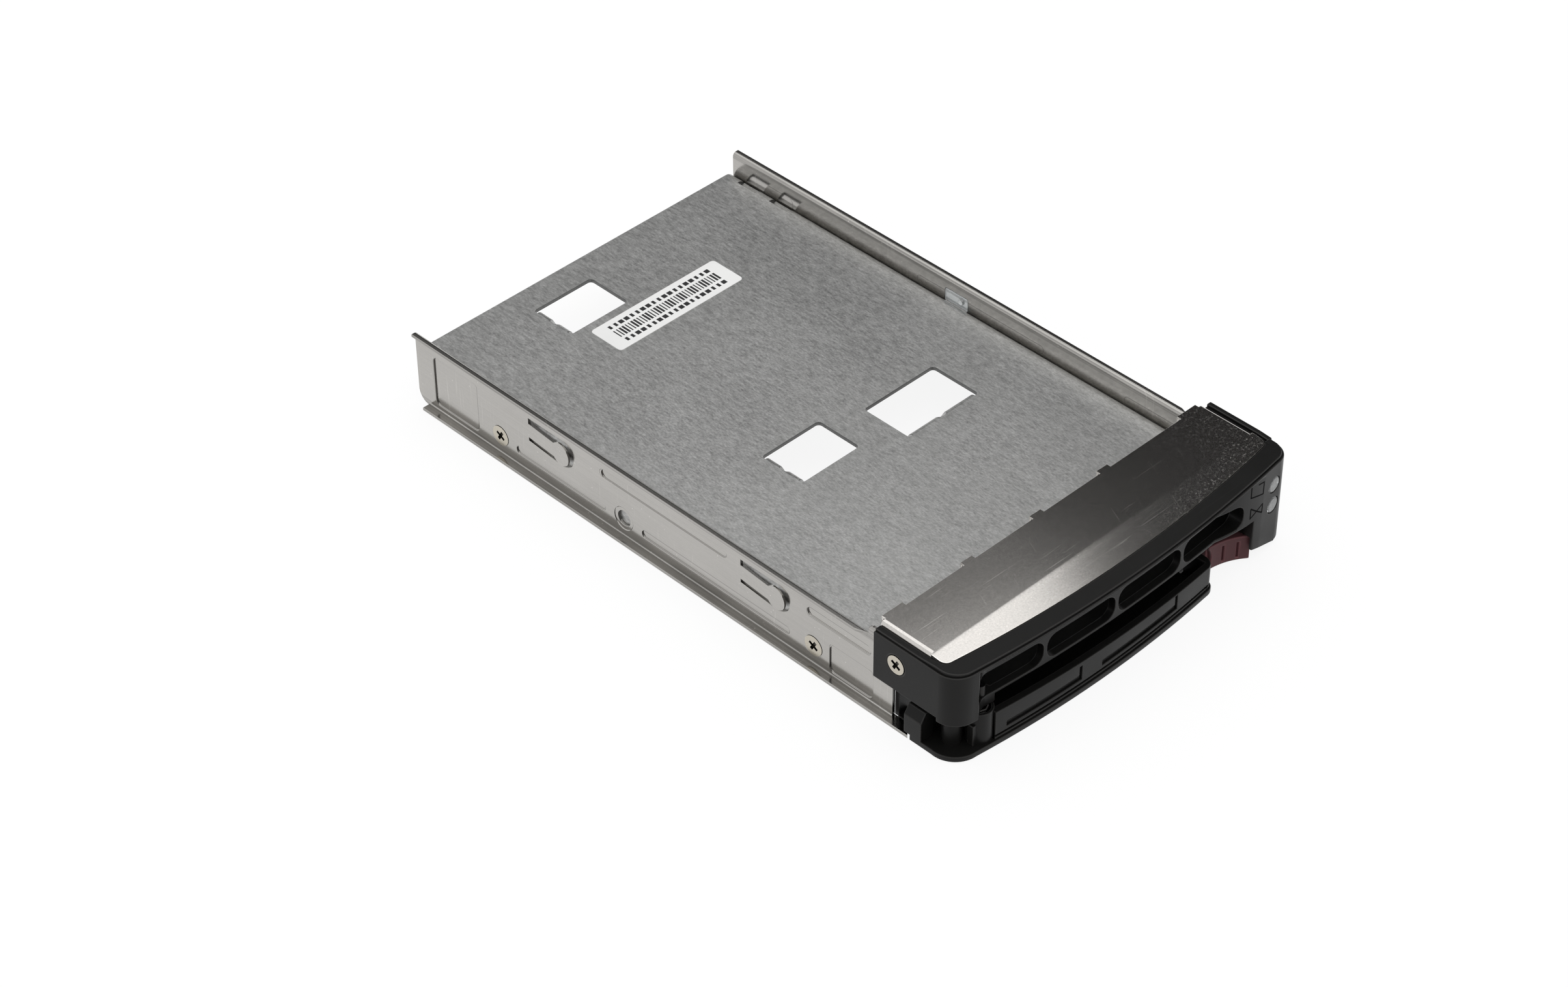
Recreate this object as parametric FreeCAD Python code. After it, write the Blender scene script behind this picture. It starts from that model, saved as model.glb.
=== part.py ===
import FreeCAD, Part
import math
import os

# Drive converter tray: two formed rails, a plate for a smaller drive, a bowed bezel with an
# ejector lever and its latch. All sizes are in millimetres.
# Layout axes: X = 0 on the tray's middle, Y = 0 at the front rail screws (rear is +Y),
# Z = 0 at the height of the rail screws. The parts are moved to the base frame on export.

V = FreeCAD.Vector
os.makedirs("parts", exist_ok=True)

# Standard drive sizes that the tray is built around
drive_width = 101.6
drive_hole_pitch = 101.6
drive_mid_hole = 60.0
small_drive_width = 69.85
small_drive_len = 101.2
small_hole_from_rear = 14.0
small_hole_pitch = 76.6
small_hole_z = -3.0

# Fits and clearances
drive_side_play = 0.04
drive_end_set = 0.4
small_drive_play = 0.36
thread_play = 0.02
seat_play = 0.02
pin_play = 0.05
moving_gap = 0.35
swing_gap = 0.5
through = 1.0
corner_steps = 5

# Rails
rail_sheet = 0.8
rail_front = -19.4
rail_rear = 130.5
rail_top = 14.29
rail_bottom = -5.4
rail_lip = 1.07
rail_foot = 2.3
rail_bend_in = 0.3
rail_foot_front = -31.2
rail_foot_rear_set = 3.7
rail_corner_r = 3.5
rail_nose_y = -23.8
rail_nose_z = 6.0
lip_front_in = -16.5
lip_front_out = -13.4
ear_front = -31.5
ear_low = 11.3
ear_high = 16.6
ear_r = 1.5

# Panels and beads pressed into the rails
press_depth = 0.3
press_r = 1.5
rear_panel_lead = 7.4
rear_panel_set = 6.2
rear_panel_low = -3.3
rear_panel_high = 10.7
front_panel_set = 1.4
front_panel_lead = 5.0
front_panel_low = -4.0
front_panel_high = 3.8
low_bead_z = -0.5
low_bead_wide = 2.2
low_bead_mid_gap = 6.0
low_bead_front_gap = 7.2
low_bead_rear_gap = 5.6
top_bead_z = 9.4
top_bead_wide = 2.4
top_bead_front_gap = 4.4
top_bead_rear_gap = 9.3
top_bead_front_set = 2.1
top_bead_front_len = 19.1

# Spring tongues, spare holes and the clip's slot
tongue_front = 7.2
tongue_pitch = 69.1
tongue_slot_len = 15.1
tongue_z = 7.3
tongue_head_r = 3.05
tongue_neck = 3.9
tongue_root_low = 2.85
tongue_slot_wide = 7.4
tongue_rise = 0.9
tongue_sheet = 0.5
mid_hole_d = 4.0
mid_ring_d = 6.1
mid_ring_depth = 0.15
clip_y = 54.75
clip_long = 7.5
clip_low = 7.5
clip_high = 11.3
clip_r = 0.6

# Countersunk screws
screw_d = 3.0
screw_sides = 12
head_sides = 24
screw_head_d = 5.3
screw_head_h = 0.8
screw_seat_play = 0.3
screw_len = 1.75
bezel_screw_d = 4.8
bezel_screw_len = 3.4
recess_long = 2.7
recess_wide = 0.75
recess_deep = 0.7
recess_turn = 30.0

# Converter plate
plate_sheet = 1.0
plate_top = 8.88
plate_front = -14.0
plate_low = -5.0
plate_bend = 2.4
plate_corner_r = 3.0
window_long = 16.5
window_deep = 12.9
window_r = 1.0
tab_bend = 1.6
tab_relief = 1.1
tab_low = -5.3
small_hole_d = 3.2
small_pin_d = 2.6
small_pin_len = 1.3
stop_x = 17.81
stop_window_long = 22.7
stop_window_deep = 12.7
stop_low = -3.2
dart_wide = 1.8
dart_leg = 2.6
dent_r = 2.0
dent_deep = 0.6
edge_slot_long = 6.0
edge_slot_pitch = 11.0
edge_slot_set = 7.5
edge_slot_tall = 1.2
edge_slot_in = 2.6

# Label
label_x = 1.76
label_rear_set = 28.55
label_long = 39.8
label_wide = 10.5
label_r = 1.0
label_thick = 0.12

# Bezel shell
arm_wall = 2.38
bezel_rear = -20.2
bow_mid_x = 0.0
bow_front = -47.55
bow_radius = 383.0
bezel_corner_r = 5.6
right_corner_r = 4.6
side_wall = 2.3
front_wall = 2.0
right_step = 0.35
right_step_y = -38.1
deck_top = 19.5
deck_low = 17.4
rim_top = 19.05
rim_inset = 0.55
rim_level_front = -33.0
rim_ramp_front = -38.5
ridge_top = 19.2
ridge_front = 18.95
ridge_fall = 3.4
ridge_wide = 1.3
ledge_z = 18.55
crease_y = -35.3
post_low = 5.0
arm_low = 6.0
arm_step_y = -38.5

# Scooped and slotted front
scoop_depth = 2.6
scoop_in_left = 6.7
scoop_run_left = 4.4
scoop_bulge_left = 0.42
scoop_in_right = 8.7
scoop_run_right = 16.0
scoop_top = 18.1
slot_count = 4
slot_low = 7.7
slot_high = 14.1
slot_pillar = 1.1
slot_r = 2.6
slot_out_left = 0.1
slot_in_right = 2.6
slot_last_set = 1.2
sill_bar = 0.8

# Corner block beside the latch
skin_wide = 13.0
block_low = -4.5
block_rise = 2.9
block_turn_in = 4.2
block_rear = -31.0
block_bottom = 1.5
inner_wall = 1.3
end_wall_in = 5.4
roof_front = -39.4

# Channel behind the lever
channel_lead = 7.1
channel_rear = -23.4
channel_floor = -3.6
channel_front = -37.4
channel_lip = 4.6
channel_end = 1.2
apron_low = -5.2
apron_side = 0.35
shelf_right_in = 8.2
boss_r = 3.4
boss_high = 12.0

# Lenses and bezel screws
lens_in = 5.84
lens_top_z = 12.9
lens_low_z = 7.1
lens_d = 4.2
lens_seat = 0.03
lens_len = 2.6
screw_y = -26.75
screw_z = 13.2

# Bezel cover
cover_sheet = 0.5
cover_left_set = 2.2
cover_right_set = 2.7
cover_edge_y = -42.5
cover_edge_radius = 360.0
cover_drop = 0.75
cover_reach = 9.0
cover_corner_r = 2.0
cover_bend = 1.2
cover_flange = 1.3
cover_flange_front = -34.6
hook_count = 3
hook_lead = 1.6
hook_wide = 3.6
hook_out = 1.1
hook_down = 1.6
end_hook_wide = 6.2
end_hook_set = 0.2

# Ejector lever
pivot_in = 10.6
pivot_y = -41.2
lever_side_set = 0.1
lever_bottom = -5.4
lever_plate = 1.4
lever_side_rear = -31.0
lever_corner_start = -37.3
lever_corner_in = 1.74
lever_corner_y = -42.6
lever_bow_mid = -6.7
lever_bow_front = -47.3
lever_bow_radius = 315.0
lever_bow_in = 6.4
lever_end_r = 3.2
lever_deep = 8.2
lever_fill = 9.4
lever_top_left = 3.7
lever_top_right = 2.1
lever_wall = 1.8
lever_wall_lead = 1.3
lever_wall_set = 0.5
lever_groove_low = -3.45
lever_groove_high = -2.85
lever_groove_deep = 0.5
inset_deep = 0.6
inset_low = -1.95
inset_high = -0.35
inset_lead = 4.5
inset_a_long = 22.0
inset_b_long = 25.2
inset_gap = 6.4
notch_wide = 0.8
notch_high = 2.0
barrel_r = 3.2
barrel_top = 4.4
spring_well_r = 2.45
spring_well = 3.2
post_x = -4.9
post_y = 3.2
post_r = 2.3
post_top = 3.0
claw_wide = 3.8
claw_front = -34.3
claw_rear = -29.3
claw_low = -4.2
claw_side_top = 1.0
claw_top = 3.3
claw_slope = 1.5
rib_lead = 3.6
rib_wide = 1.0
rib_top = 1.4

# Pivot pin, clip and springs
pivot_d = 2.2
pivot_high = 10.5
pivot_clip_d = 4.6
pivot_clip_thick = 0.5
pivot_clip_set = 0.15
coil_wire = 0.45
coil_turns = 4
coil_mid_r = 1.75
coil_steps = 8
coil_sides = 4
latch_coil_turns = 5
latch_coil_wire = 0.45
latch_coil_r = 1.25

# Release latch
latch_lap = 1.2
latch_long = 9.8
latch_deep_y = -40.2
latch_tip_set = 1.25
latch_rear = -33.6
latch_low = -5.35
latch_high = 1.3
latch_hollow = 0.9
latch_travel = 2.5
latch_groove = 0.5
latch_groove_deep = 0.45
latch_groove_first = 3.95
latch_groove_pitch = 3.3
latch_groove_low = -4.5
latch_groove_high = -0.2
latch_bite_r = 5.0
latch_bite = 0.9
guide_d = 1.6
guide_y = -36.4
guide_z = -0.9
guide_lug = 1.8
guide_lug_half = 1.6
guide_seat = 1.1

# Light guides and their clip
guide_rod = 1.4
rod_side = 0.1
rod_top_z = 10.55
rod_low_z = 8.35
rod_rear_set = 1.0
rod_bend_front = -41.6
rod_bend_rear = -33.0
rod_channel = 0.12
rod_channel_rise = 1.2
clip_thick = 0.85
clip_post_d = 1.6
clip_post_len = 0.7
clip_post_z = 9.9

# Sizes that follow from the ones above
rail_in = drive_width / 2 + drive_side_play
rail_out = rail_in + rail_sheet
plate_half = rail_in - seat_play
plate_in = plate_half - plate_sheet
plate_rear = rail_rear
tab_face = plate_in - small_drive_width - small_drive_play
drive_rear_end = rail_rear - drive_end_set
small_rear_y = drive_rear_end - small_hole_from_rear
small_front_y = small_rear_y - small_hole_pitch
stop_face_y = drive_rear_end - small_drive_len
arm_in = rail_out + seat_play
bezel_half = arm_in + arm_wall
front_right = bezel_half - right_step
bezel_deep = bezel_rear - bow_front
bezel_bow = (bow_mid_x, bow_front, bow_radius)
lever_bow = (lever_bow_mid, lever_bow_front, lever_bow_radius)
scoop_left = -bezel_half + scoop_in_left
scoop_right = front_right - scoop_in_right
skin_left = front_right - skin_wide
slots_left = scoop_left - slot_out_left
slots_right = skin_left - slot_in_right
slot_pitch = (slots_right - slots_left + slot_pillar) / slot_count
sill_z = slot_low - sill_bar
pivot_x = -bezel_half + pivot_in
lever_left = -bezel_half + lever_side_set
claw_right = lever_left + claw_wide
latch_right = skin_left + latch_lap
latch_left = latch_right - latch_long
lever_right = latch_left - latch_travel - moving_gap - swing_gap
channel_left = pivot_x + channel_lead
channel_right = lever_right + channel_end
end_wall_x = front_right - end_wall_in
guide_left = lever_right + swing_gap
guide_right = end_wall_x + guide_seat
pocket_top = latch_high + moving_gap
lens_x = front_right - lens_in
rod_x = rail_out + rod_side + guide_rod / 2
rod_rear = rail_rear - rod_rear_set
cover_left = -bezel_half + cover_left_set
cover_right = bezel_half - cover_right_set
swing_clear = math.hypot(lever_side_rear - pivot_y, lever_left - pivot_x) + moving_gap
base_shift = V(0, -(rail_rear + bow_front) / 2, -rail_bottom)


# Small helpers
def box(x0, x1, y0, y1, z0, z1):
    return Part.makeBox(x1 - x0, y1 - y0, z1 - z0, V(x0, y0, z0))


def rod(base, axis, d, length):
    return Part.makeCylinder(d / 2, length, base, axis)


def line(a, b):
    return Part.makeLine(a, b)


def arc(a, mid, b):
    return Part.Arc(a, mid, b).toShape()


def face_of(edges):
    return Part.Face(Part.Wire(Part.__sortEdges__(edges)))


def polygon(points):
    return Part.Face(Part.makePolygon(points + [points[0]]))


def joined(shapes):
    return shapes[0].fuse(shapes[1:]).removeSplitter()


def arc_y(bow, x, set_back=0.0):
    """Y of a bowed front at x, set back towards the rear."""
    mid, front, radius = bow
    r = radius - set_back
    return front + radius - math.sqrt(r * r - (x - mid) ** 2)


def arc_point(bow, x, z, set_back=0.0):
    return V(x, arc_y(bow, x, set_back), z)


def bow_edge(bow, x0, x1, z, set_back=0.0):
    mid = arc_point(bow, (x0 + x1) / 2, z, set_back)
    return arc(arc_point(bow, x0, z, set_back), mid, arc_point(bow, x1, z, set_back))


def bow_slab(bow, x0, x1, front_set, rear_set, z0, z1):
    """A bowed slab between two set-backs from a bowed front."""
    left = line(arc_point(bow, x0, z0, front_set), arc_point(bow, x0, z0, rear_set))
    right = line(arc_point(bow, x1, z0, front_set), arc_point(bow, x1, z0, rear_set))
    edges = [bow_edge(bow, x0, x1, z0, front_set), bow_edge(bow, x0, x1, z0, rear_set), left, right]
    return face_of(edges).extrude(V(0, 0, z1 - z0))


def round_plate(a0, a1, b0, b1, r, place):
    """A rounded rectangle as a face; place maps its two sizes to a point."""
    points = []
    corners = ((a1 - r, b1 - r), (a0 + r, b1 - r), (a0 + r, b0 + r), (a1 - r, b0 + r))
    for quarter, (a, b) in enumerate(corners):
        for k in range(corner_steps + 1):
            turn = math.pi / 2 * (quarter + k / corner_steps)
            points.append(place(a + r * math.cos(turn), b + r * math.sin(turn)))
    return polygon(points)


def side_pad(y0, y1, z0, z1, r, x0, x1):
    face = round_plate(y0, y1, z0, z1, r, lambda a, b: V(x0, a, b))
    return face.extrude(V(x1 - x0, 0, 0))


def floor_pad(x0, x1, y0, y1, r, z0, z1):
    face = round_plate(x0, x1, y0, y1, r, lambda a, b: V(a, b, z0))
    return face.extrude(V(0, 0, z1 - z0))


def front_pad(x0, x1, z0, z1, r, y0, y1):
    face = round_plate(x0, x1, z0, z1, r, lambda a, b: V(a, y0, b))
    return face.extrude(V(0, y1 - y0, 0))


def upright_edges(shape, near, reach):
    """Vertical edges of a shape that stand close to a point."""
    found = []
    for edge in shape.Edges:
        a = edge.Vertexes[0].Point
        b = edge.Vertexes[-1].Point
        upright = math.hypot(a.x - b.x, a.y - b.y) < seat_play
        if upright and math.hypot(a.x - near.x, a.y - near.y) < reach:
            found.append(edge)
    return found


def ring_points(base, axis, d, sides):
    """Corners of a regular polygon round an axis along X, Y or Z."""
    along = V(0, 0, 1) if abs(axis.y) > 0 else V(0, 1, 0)
    across = V(0, 0, 1) if abs(axis.x) > 0 else V(1, 0, 0)
    points = []
    for k in range(sides):
        a = 2 * math.pi * k / sides
        points.append(base + along * (d / 2 * math.cos(a)) + across * (d / 2 * math.sin(a)))
    return points


def prism(base, axis, d, length, sides):
    """Straight many-sided bar, used where a round face is not needed."""
    return polygon(ring_points(base, axis, d, sides)).extrude(axis * length)


def frustum(base, axis, d0, d1, length, sides):
    """Tapered many-sided bar with flat faces."""
    low = ring_points(base, axis, d0, sides)
    high = ring_points(base + axis * length, axis, d1, sides)
    faces = [polygon(low), polygon(high)]
    for k in range(sides):
        m = (k + 1) % sides
        faces.append(polygon([low[k], low[m], high[m], high[k]]))
    return Part.makeSolid(Part.makeShell(faces))


# Fasteners
def countersunk(head, inward, head_d, length):
    """Flat-head screw whose head lies in the plane through head; inward is a unit vector."""
    cone = frustum(head, inward, head_d, screw_d, screw_head_h, head_sides)
    body = joined([cone, prism(head, inward, screw_d, length, screw_sides)])
    half = recess_long / 2
    thin = recess_wide / 2
    ends = (head.x - through * inward.x, head.x + recess_deep * inward.x)
    tall = box(min(ends), max(ends), head.y - thin, head.y + thin, head.z - half, head.z + half)
    flat = box(min(ends), max(ends), head.y - half, head.y + half, head.z - thin, head.z + thin)
    cross = tall.fuse(flat)
    cross.rotate(head, V(1, 0, 0), recess_turn)
    return body.cut(cross)


def countersink(head, inward, head_d, length):
    """Cutter for a flat-head seat and its hole."""
    hole_d = screw_d + 2 * pin_play
    hole = prism(head - inward * through, inward, hole_d, length + through, screw_sides)
    seat_d = head_d + 2 * screw_seat_play
    return joined([hole, frustum(head, inward, seat_d, hole_d, screw_head_h, head_sides)])


# Rails
def rail_section():
    """Closed section of the left rail: lip, web and foot with rounded bends."""
    out = -rail_out
    bend_out = rail_bend_in + rail_sheet
    diag = math.sqrt(0.5)
    lip_low = rail_top - rail_sheet
    foot_top = rail_bottom + rail_sheet
    top_c = V(out - rail_bend_in, 0, lip_low - rail_bend_in)
    low_c = V(out - rail_bend_in, 0, foot_top + rail_bend_in)

    def at(c, r, sx, sz):
        return c + V(sx * r, 0, sz * r)

    def bend(c, r, up):
        side = at(c, r, 1, 0)
        end = at(c, r, 0, up)
        return arc(side, at(c, r, diag, up * diag), end)

    lip_end = V(out - rail_lip, 0, rail_top)
    lip_under = V(out - rail_lip, 0, lip_low)
    toe = V(out - rail_foot, 0, rail_bottom)
    toe_top = V(out - rail_foot, 0, foot_top)
    edges = [
        line(lip_end, lip_under), line(lip_under, at(top_c, rail_bend_in, 0, 1)),
        bend(top_c, rail_bend_in, 1),
        line(at(top_c, rail_bend_in, 1, 0), at(low_c, rail_bend_in, 1, 0)),
        bend(low_c, rail_bend_in, -1),
        line(at(low_c, rail_bend_in, 0, -1), toe_top), line(toe_top, toe),
        line(toe, at(low_c, bend_out, 0, -1)),
        bend(low_c, bend_out, -1),
        line(at(low_c, bend_out, 1, 0), at(top_c, bend_out, 1, 0)),
        bend(top_c, bend_out, 1),
        line(at(top_c, bend_out, 0, 1), lip_end),
    ]
    face = face_of(edges)
    face.translate(V(0, rail_foot_front, 0))
    return face


def tongue(y_front):
    """Spring tongue: an outward-leaning sheet kept to a keyhole outline."""
    root = y_front + tongue_slot_len
    head_y = y_front + tongue_slot_wide / 2
    tip = head_y - tongue_head_r
    out = -rail_out
    lean = polygon([
        V(out, root + through, 0), V(out, root, 0), V(out - tongue_rise, tip, 0),
        V(out - tongue_rise + tongue_sheet, tip, 0), V(out + rail_sheet, root, 0),
        V(out + rail_sheet, root + through, 0),
    ])
    lean.translate(V(0, 0, tongue_z - tongue_slot_wide))
    sheet = lean.extrude(V(0, 0, 2 * tongue_slot_wide))
    start = out - tongue_rise - through
    reach = rail_sheet + tongue_rise + 2 * through
    head = prism(V(start, head_y, tongue_z), V(1, 0, 0), 2 * tongue_head_r, reach, head_sides)
    half = tongue_neck / 2
    neck = box(start, start + reach, head_y, root + through, tongue_z - half, tongue_z + half)
    return sheet.common(head.fuse(neck))


def tongue_slot(y_front):
    """Keyhole slot around a tongue: round at the front, two prongs beside the neck."""
    half = tongue_slot_wide / 2
    start = -rail_out - through
    end = start + rail_sheet + 2 * through
    head_y = y_front + half
    ring = prism(V(start, head_y, tongue_z), V(1, 0, 0), tongue_slot_wide, end - start, head_sides)
    root = y_front + tongue_slot_len
    plan = polygon([
        V(start, head_y, tongue_z + half), V(start, root, tongue_z + half),
        V(start, root, tongue_z - tongue_root_low), V(start, head_y, tongue_z - half),
    ])
    prong = plan.extrude(V(end - start, 0, 0))
    neck = tongue_neck / 2
    keep = box(start, end, root - through, root + through, tongue_z - neck, tongue_z + neck)
    return ring.fuse(prong).cut(keep)


def pressing(y0, y1, z0, z1, r):
    return side_pad(y0, y1, z0, z1, r, -rail_out - through, -rail_out + press_depth)


def rail_pressings():
    """Panels at both ends of a rail and the long beads between them."""
    low = low_bead_z - low_bead_wide / 2
    low_r = low_bead_wide / 2 - seat_play
    top = top_bead_z - top_bead_wide / 2
    top_r = top_bead_wide / 2 - seat_play
    first_end = tongue_front + tongue_slot_len
    bead_front = rail_front + top_bead_front_set
    return [
        pressing(drive_hole_pitch + rear_panel_lead, rail_rear - rear_panel_set, rear_panel_low,
                 rear_panel_high, press_r),
        pressing(rail_front + front_panel_set, -front_panel_lead, front_panel_low, front_panel_high,
                 press_r),
        pressing(low_bead_front_gap, drive_mid_hole - low_bead_mid_gap, low, low + low_bead_wide, low_r),
        pressing(drive_mid_hole + low_bead_mid_gap, drive_hole_pitch - low_bead_rear_gap, low,
                 low + low_bead_wide, low_r),
        pressing(first_end + top_bead_front_gap, tongue_front + tongue_pitch - top_bead_rear_gap, top,
                 top + top_bead_wide, top_r),
        pressing(bead_front, bead_front + top_bead_front_len, top, top + top_bead_wide, top_r),
    ]


def rail(with_tongues):
    out = -rail_out
    inn = -rail_in
    foot_top = rail_bottom + rail_sheet
    body = rail_section().extrude(V(0, rail_rear - rail_foot_front, 0))
    ahead = rail_foot_front - through
    nose = box(out - rail_bend_in, inn + through, ahead, rail_nose_y, foot_top, rail_nose_z)
    upper = box(out - rail_lip - through, inn + through, ahead, rail_front, rail_nose_z, rail_top + through)
    lip_cut = polygon([
        V(out - rail_lip - through, ahead, 0), V(out, ahead, 0), V(out, lip_front_in, 0),
        V(out - rail_lip, lip_front_out, 0), V(out - rail_lip - through, lip_front_out, 0),
    ])
    lip_cut.translate(V(0, 0, rail_top - rail_sheet - rail_bend_in))
    lip_front = lip_cut.extrude(V(0, 0, rail_sheet + rail_bend_in + through))
    swing = rod(V(pivot_x, pivot_y, rail_bottom - through), V(0, 0, 1), 2 * swing_clear,
                rail_sheet + 2 * through)
    foot_end = box(out - rail_foot - through, out, rail_rear - rail_foot_rear_set, rail_rear + through,
                   rail_bottom - through, foot_top + rail_bend_in)
    corner_y = rail_rear - rail_corner_r
    corner_z = rail_bottom + rail_corner_r
    corner = box(out - rail_bend_in - through, inn + through, corner_y, rail_rear + through,
                 rail_bottom - through, corner_z)
    keep = rod(V(out - through, corner_y, corner_z), V(1, 0, 0), 2 * rail_corner_r, rail_sheet + 2 * through)
    body = body.cut([nose, upper, lip_front, swing, foot_end, corner.cut(keep)])
    web_start = rail_front + 2 * ear_r
    ear = side_pad(ear_front, web_start, ear_low, ear_high, ear_r, out, inn)
    web_link = box(out, inn, rail_front, web_start, ear_low, rail_top - rail_sheet)
    cuts = rail_pressings()
    for y in (0, drive_hole_pitch):
        cuts.append(countersink(V(out, y, 0), V(1, 0, 0), screw_head_d, rail_sheet + through))
    side = V(out - through, drive_mid_hole, 0)
    cuts.append(prism(side, V(1, 0, 0), mid_hole_d, rail_sheet + 2 * through, head_sides))
    cuts.append(prism(side, V(1, 0, 0), mid_ring_d, through + mid_ring_depth, head_sides))
    cuts.append(prism(V(out - through, screw_y, screw_z), V(1, 0, 0), screw_d + 2 * thread_play,
                      rail_sheet + 2 * through, screw_sides))
    starts = [tongue_front, tongue_front + tongue_pitch] if with_tongues else []
    cuts += [tongue_slot(y) for y in starts]
    body = joined([body, ear, web_link]).cut(cuts)
    return joined([body] + [tongue(y) for y in starts])


def left_rail():
    return rail(True)


def right_rail():
    """Mirror of the left rail; plain where the light guides run, with a slot for their clip."""
    body = rail(False).mirror(V(0, 0, 0), V(1, 0, 0))
    slot = side_pad(clip_y - clip_long / 2, clip_y + clip_long / 2, clip_low, clip_high, clip_r,
                    rail_in - through, rail_out + through)
    return body.cut(slot)


# Converter plate
def bent_tab(bend, sheet, low, width):
    """Tab that leaves the plate along +X, bends down, and ends at low; X = 0 is its outer face."""
    inner = bend - sheet
    c = V(-bend, 0, plate_top - bend)
    diag = math.sqrt(0.5)
    under = plate_top - sheet
    root = -bend - through
    edges = [
        line(V(root, 0, plate_top), V(-bend, 0, plate_top)),
        arc(V(-bend, 0, plate_top), c + V(bend * diag, 0, bend * diag), V(0, 0, c.z)),
        line(V(0, 0, c.z), V(0, 0, low)), line(V(0, 0, low), V(-sheet, 0, low)),
        line(V(-sheet, 0, low), V(-sheet, 0, c.z)),
        arc(V(-sheet, 0, c.z), c + V(inner * diag, 0, inner * diag), V(-bend, 0, under)),
        line(V(-bend, 0, under), V(root, 0, under)), line(V(root, 0, under), V(root, 0, plate_top)),
    ]
    body = face_of(edges).extrude(V(0, width, 0))
    body.translate(V(0, -width / 2, 0))
    return body


def tab_dart():
    """Stiffening gusset on the inside of a tab's bend, with X = 0 on the tab's outer face."""
    x = -plate_sheet
    z = plate_top - plate_sheet
    wedge = polygon([V(x + seat_play, 0, z + seat_play), V(x - dart_leg, 0, z + seat_play),
                     V(x + seat_play, 0, z - dart_leg)])
    body = wedge.extrude(V(0, dart_wide, 0))
    body.translate(V(0, -dart_wide / 2, 0))
    return body


def dart_dent():
    """Cutter for the dent that the gusset's tool leaves on the outside of a tab's bend."""
    diag = math.sqrt(0.5)
    centre = V(-tab_bend, 0, plate_top - tab_bend)
    axis = centre + V(diag, 0, diag) * (tab_bend + dent_r - dent_deep)
    along = V(diag, 0, -diag)
    return rod(axis - along * (2 * tab_bend), along, 2 * dent_r, 4 * tab_bend)


def placed(shape, origin, turn):
    copy = shape.copy()
    copy.rotate(V(0, 0, 0), V(0, 0, 1), turn)
    copy.translate(origin)
    return copy


def flange_corner(sx):
    """Cutter that rounds the rear lower corner of a side flange."""
    x0 = min(sx * (plate_in - through), sx * (plate_half + through))
    x1 = x0 + plate_sheet + 2 * through
    y = plate_rear - plate_corner_r
    z = plate_low + plate_corner_r
    corner = box(x0, x1, y, plate_rear + through, plate_low - through, z)
    return corner.cut(rod(V(x0, y, z), V(1, 0, 0), 2 * plate_corner_r, x1 - x0))


def converter_plate():
    z_low = plate_top - plate_sheet
    flat_half = plate_half - plate_bend
    mid_y = (plate_rear + plate_front) / 2
    top = box(-flat_half, flat_half, plate_front, plate_rear, z_low, plate_top)
    side = bent_tab(plate_bend, plate_sheet, plate_low, plate_rear - plate_front)
    right = placed(side, V(plate_half, mid_y, 0), 0)
    left = placed(side, V(-plate_half, mid_y, 0), 180)
    body = joined([top, right, left])
    cuts = []
    adds = []
    for sx in (-1, 1):
        cuts.append(flange_corner(sx))
        start = V(sx * (plate_in - through), 0, 0)
        for y in (0, drive_hole_pitch):
            cuts.append(prism(start + V(0, y, 0), V(sx, 0, 0), screw_d + 2 * thread_play,
                              plate_sheet + 2 * through, screw_sides))
    tab = bent_tab(tab_bend, plate_sheet, tab_low, window_deep - 2 * tab_relief)
    hole = rod(V(-plate_sheet - through, 0, small_hole_z), V(1, 0, 0), small_hole_d,
               plate_sheet + 2 * through)
    tab = tab.fuse(tab_dart()).cut([hole, dart_dent()])
    for y in (small_front_y, small_rear_y):
        peg = V(plate_in + seat_play, y, small_hole_z)
        adds.append(prism(peg, V(-1, 0, 0), small_pin_d, small_pin_len + seat_play, screw_sides))
        cuts.append(floor_pad(tab_face - tab_bend, tab_face + window_long, y - window_deep / 2,
                              y + window_deep / 2, window_r, z_low - through, plate_top + through))
        adds.append(placed(tab, V(tab_face, y, 0), 0))
    half = stop_window_long / 2
    cuts.append(floor_pad(stop_x - half, stop_x + half, stop_face_y - tab_bend,
                          stop_face_y + stop_window_deep, window_r, z_low - through, plate_top + through))
    stop = bent_tab(tab_bend, plate_sheet, stop_low, stop_window_long - 2 * tab_relief)
    stop = stop.fuse(tab_dart()).cut(dart_dent())
    adds.append(placed(stop, V(stop_x, stop_face_y, 0), 90))
    for k in range(2):
        y = plate_rear - edge_slot_set - k * edge_slot_pitch
        cuts.append(box(plate_half - edge_slot_in, plate_half + through, y - edge_slot_long / 2,
                        y + edge_slot_long / 2, plate_top - edge_slot_tall, plate_top + through))
    return joined([body.cut(cuts)] + adds)


def label():
    x = label_x - label_long / 2
    y = rail_rear - label_rear_set - label_wide / 2
    return floor_pad(x, x + label_long, y, y + label_wide, label_r, plate_top, plate_top + label_thick)


# Bezel
def bezel_outline(inset, z0, z1):
    """Plan of the bezel: straight sides, bowed front, rounded front corners."""
    x0 = -bezel_half + inset
    x1 = front_right - inset
    a = V(x0, bezel_rear, z0)
    b = V(x1, bezel_rear, z0)
    left = arc_point(bezel_bow, x0, z0, inset)
    right = arc_point(bezel_bow, x1, z0, inset)
    edges = [line(a, left), bow_edge(bezel_bow, x0, x1, z0, inset), line(right, b), line(b, a)]
    body = face_of(edges).extrude(V(0, 0, z1 - z0))
    body = body.makeFillet(bezel_corner_r - inset, upright_edges(body, left, through))
    return body.makeFillet(right_corner_r - inset, upright_edges(body, right, through))


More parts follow.
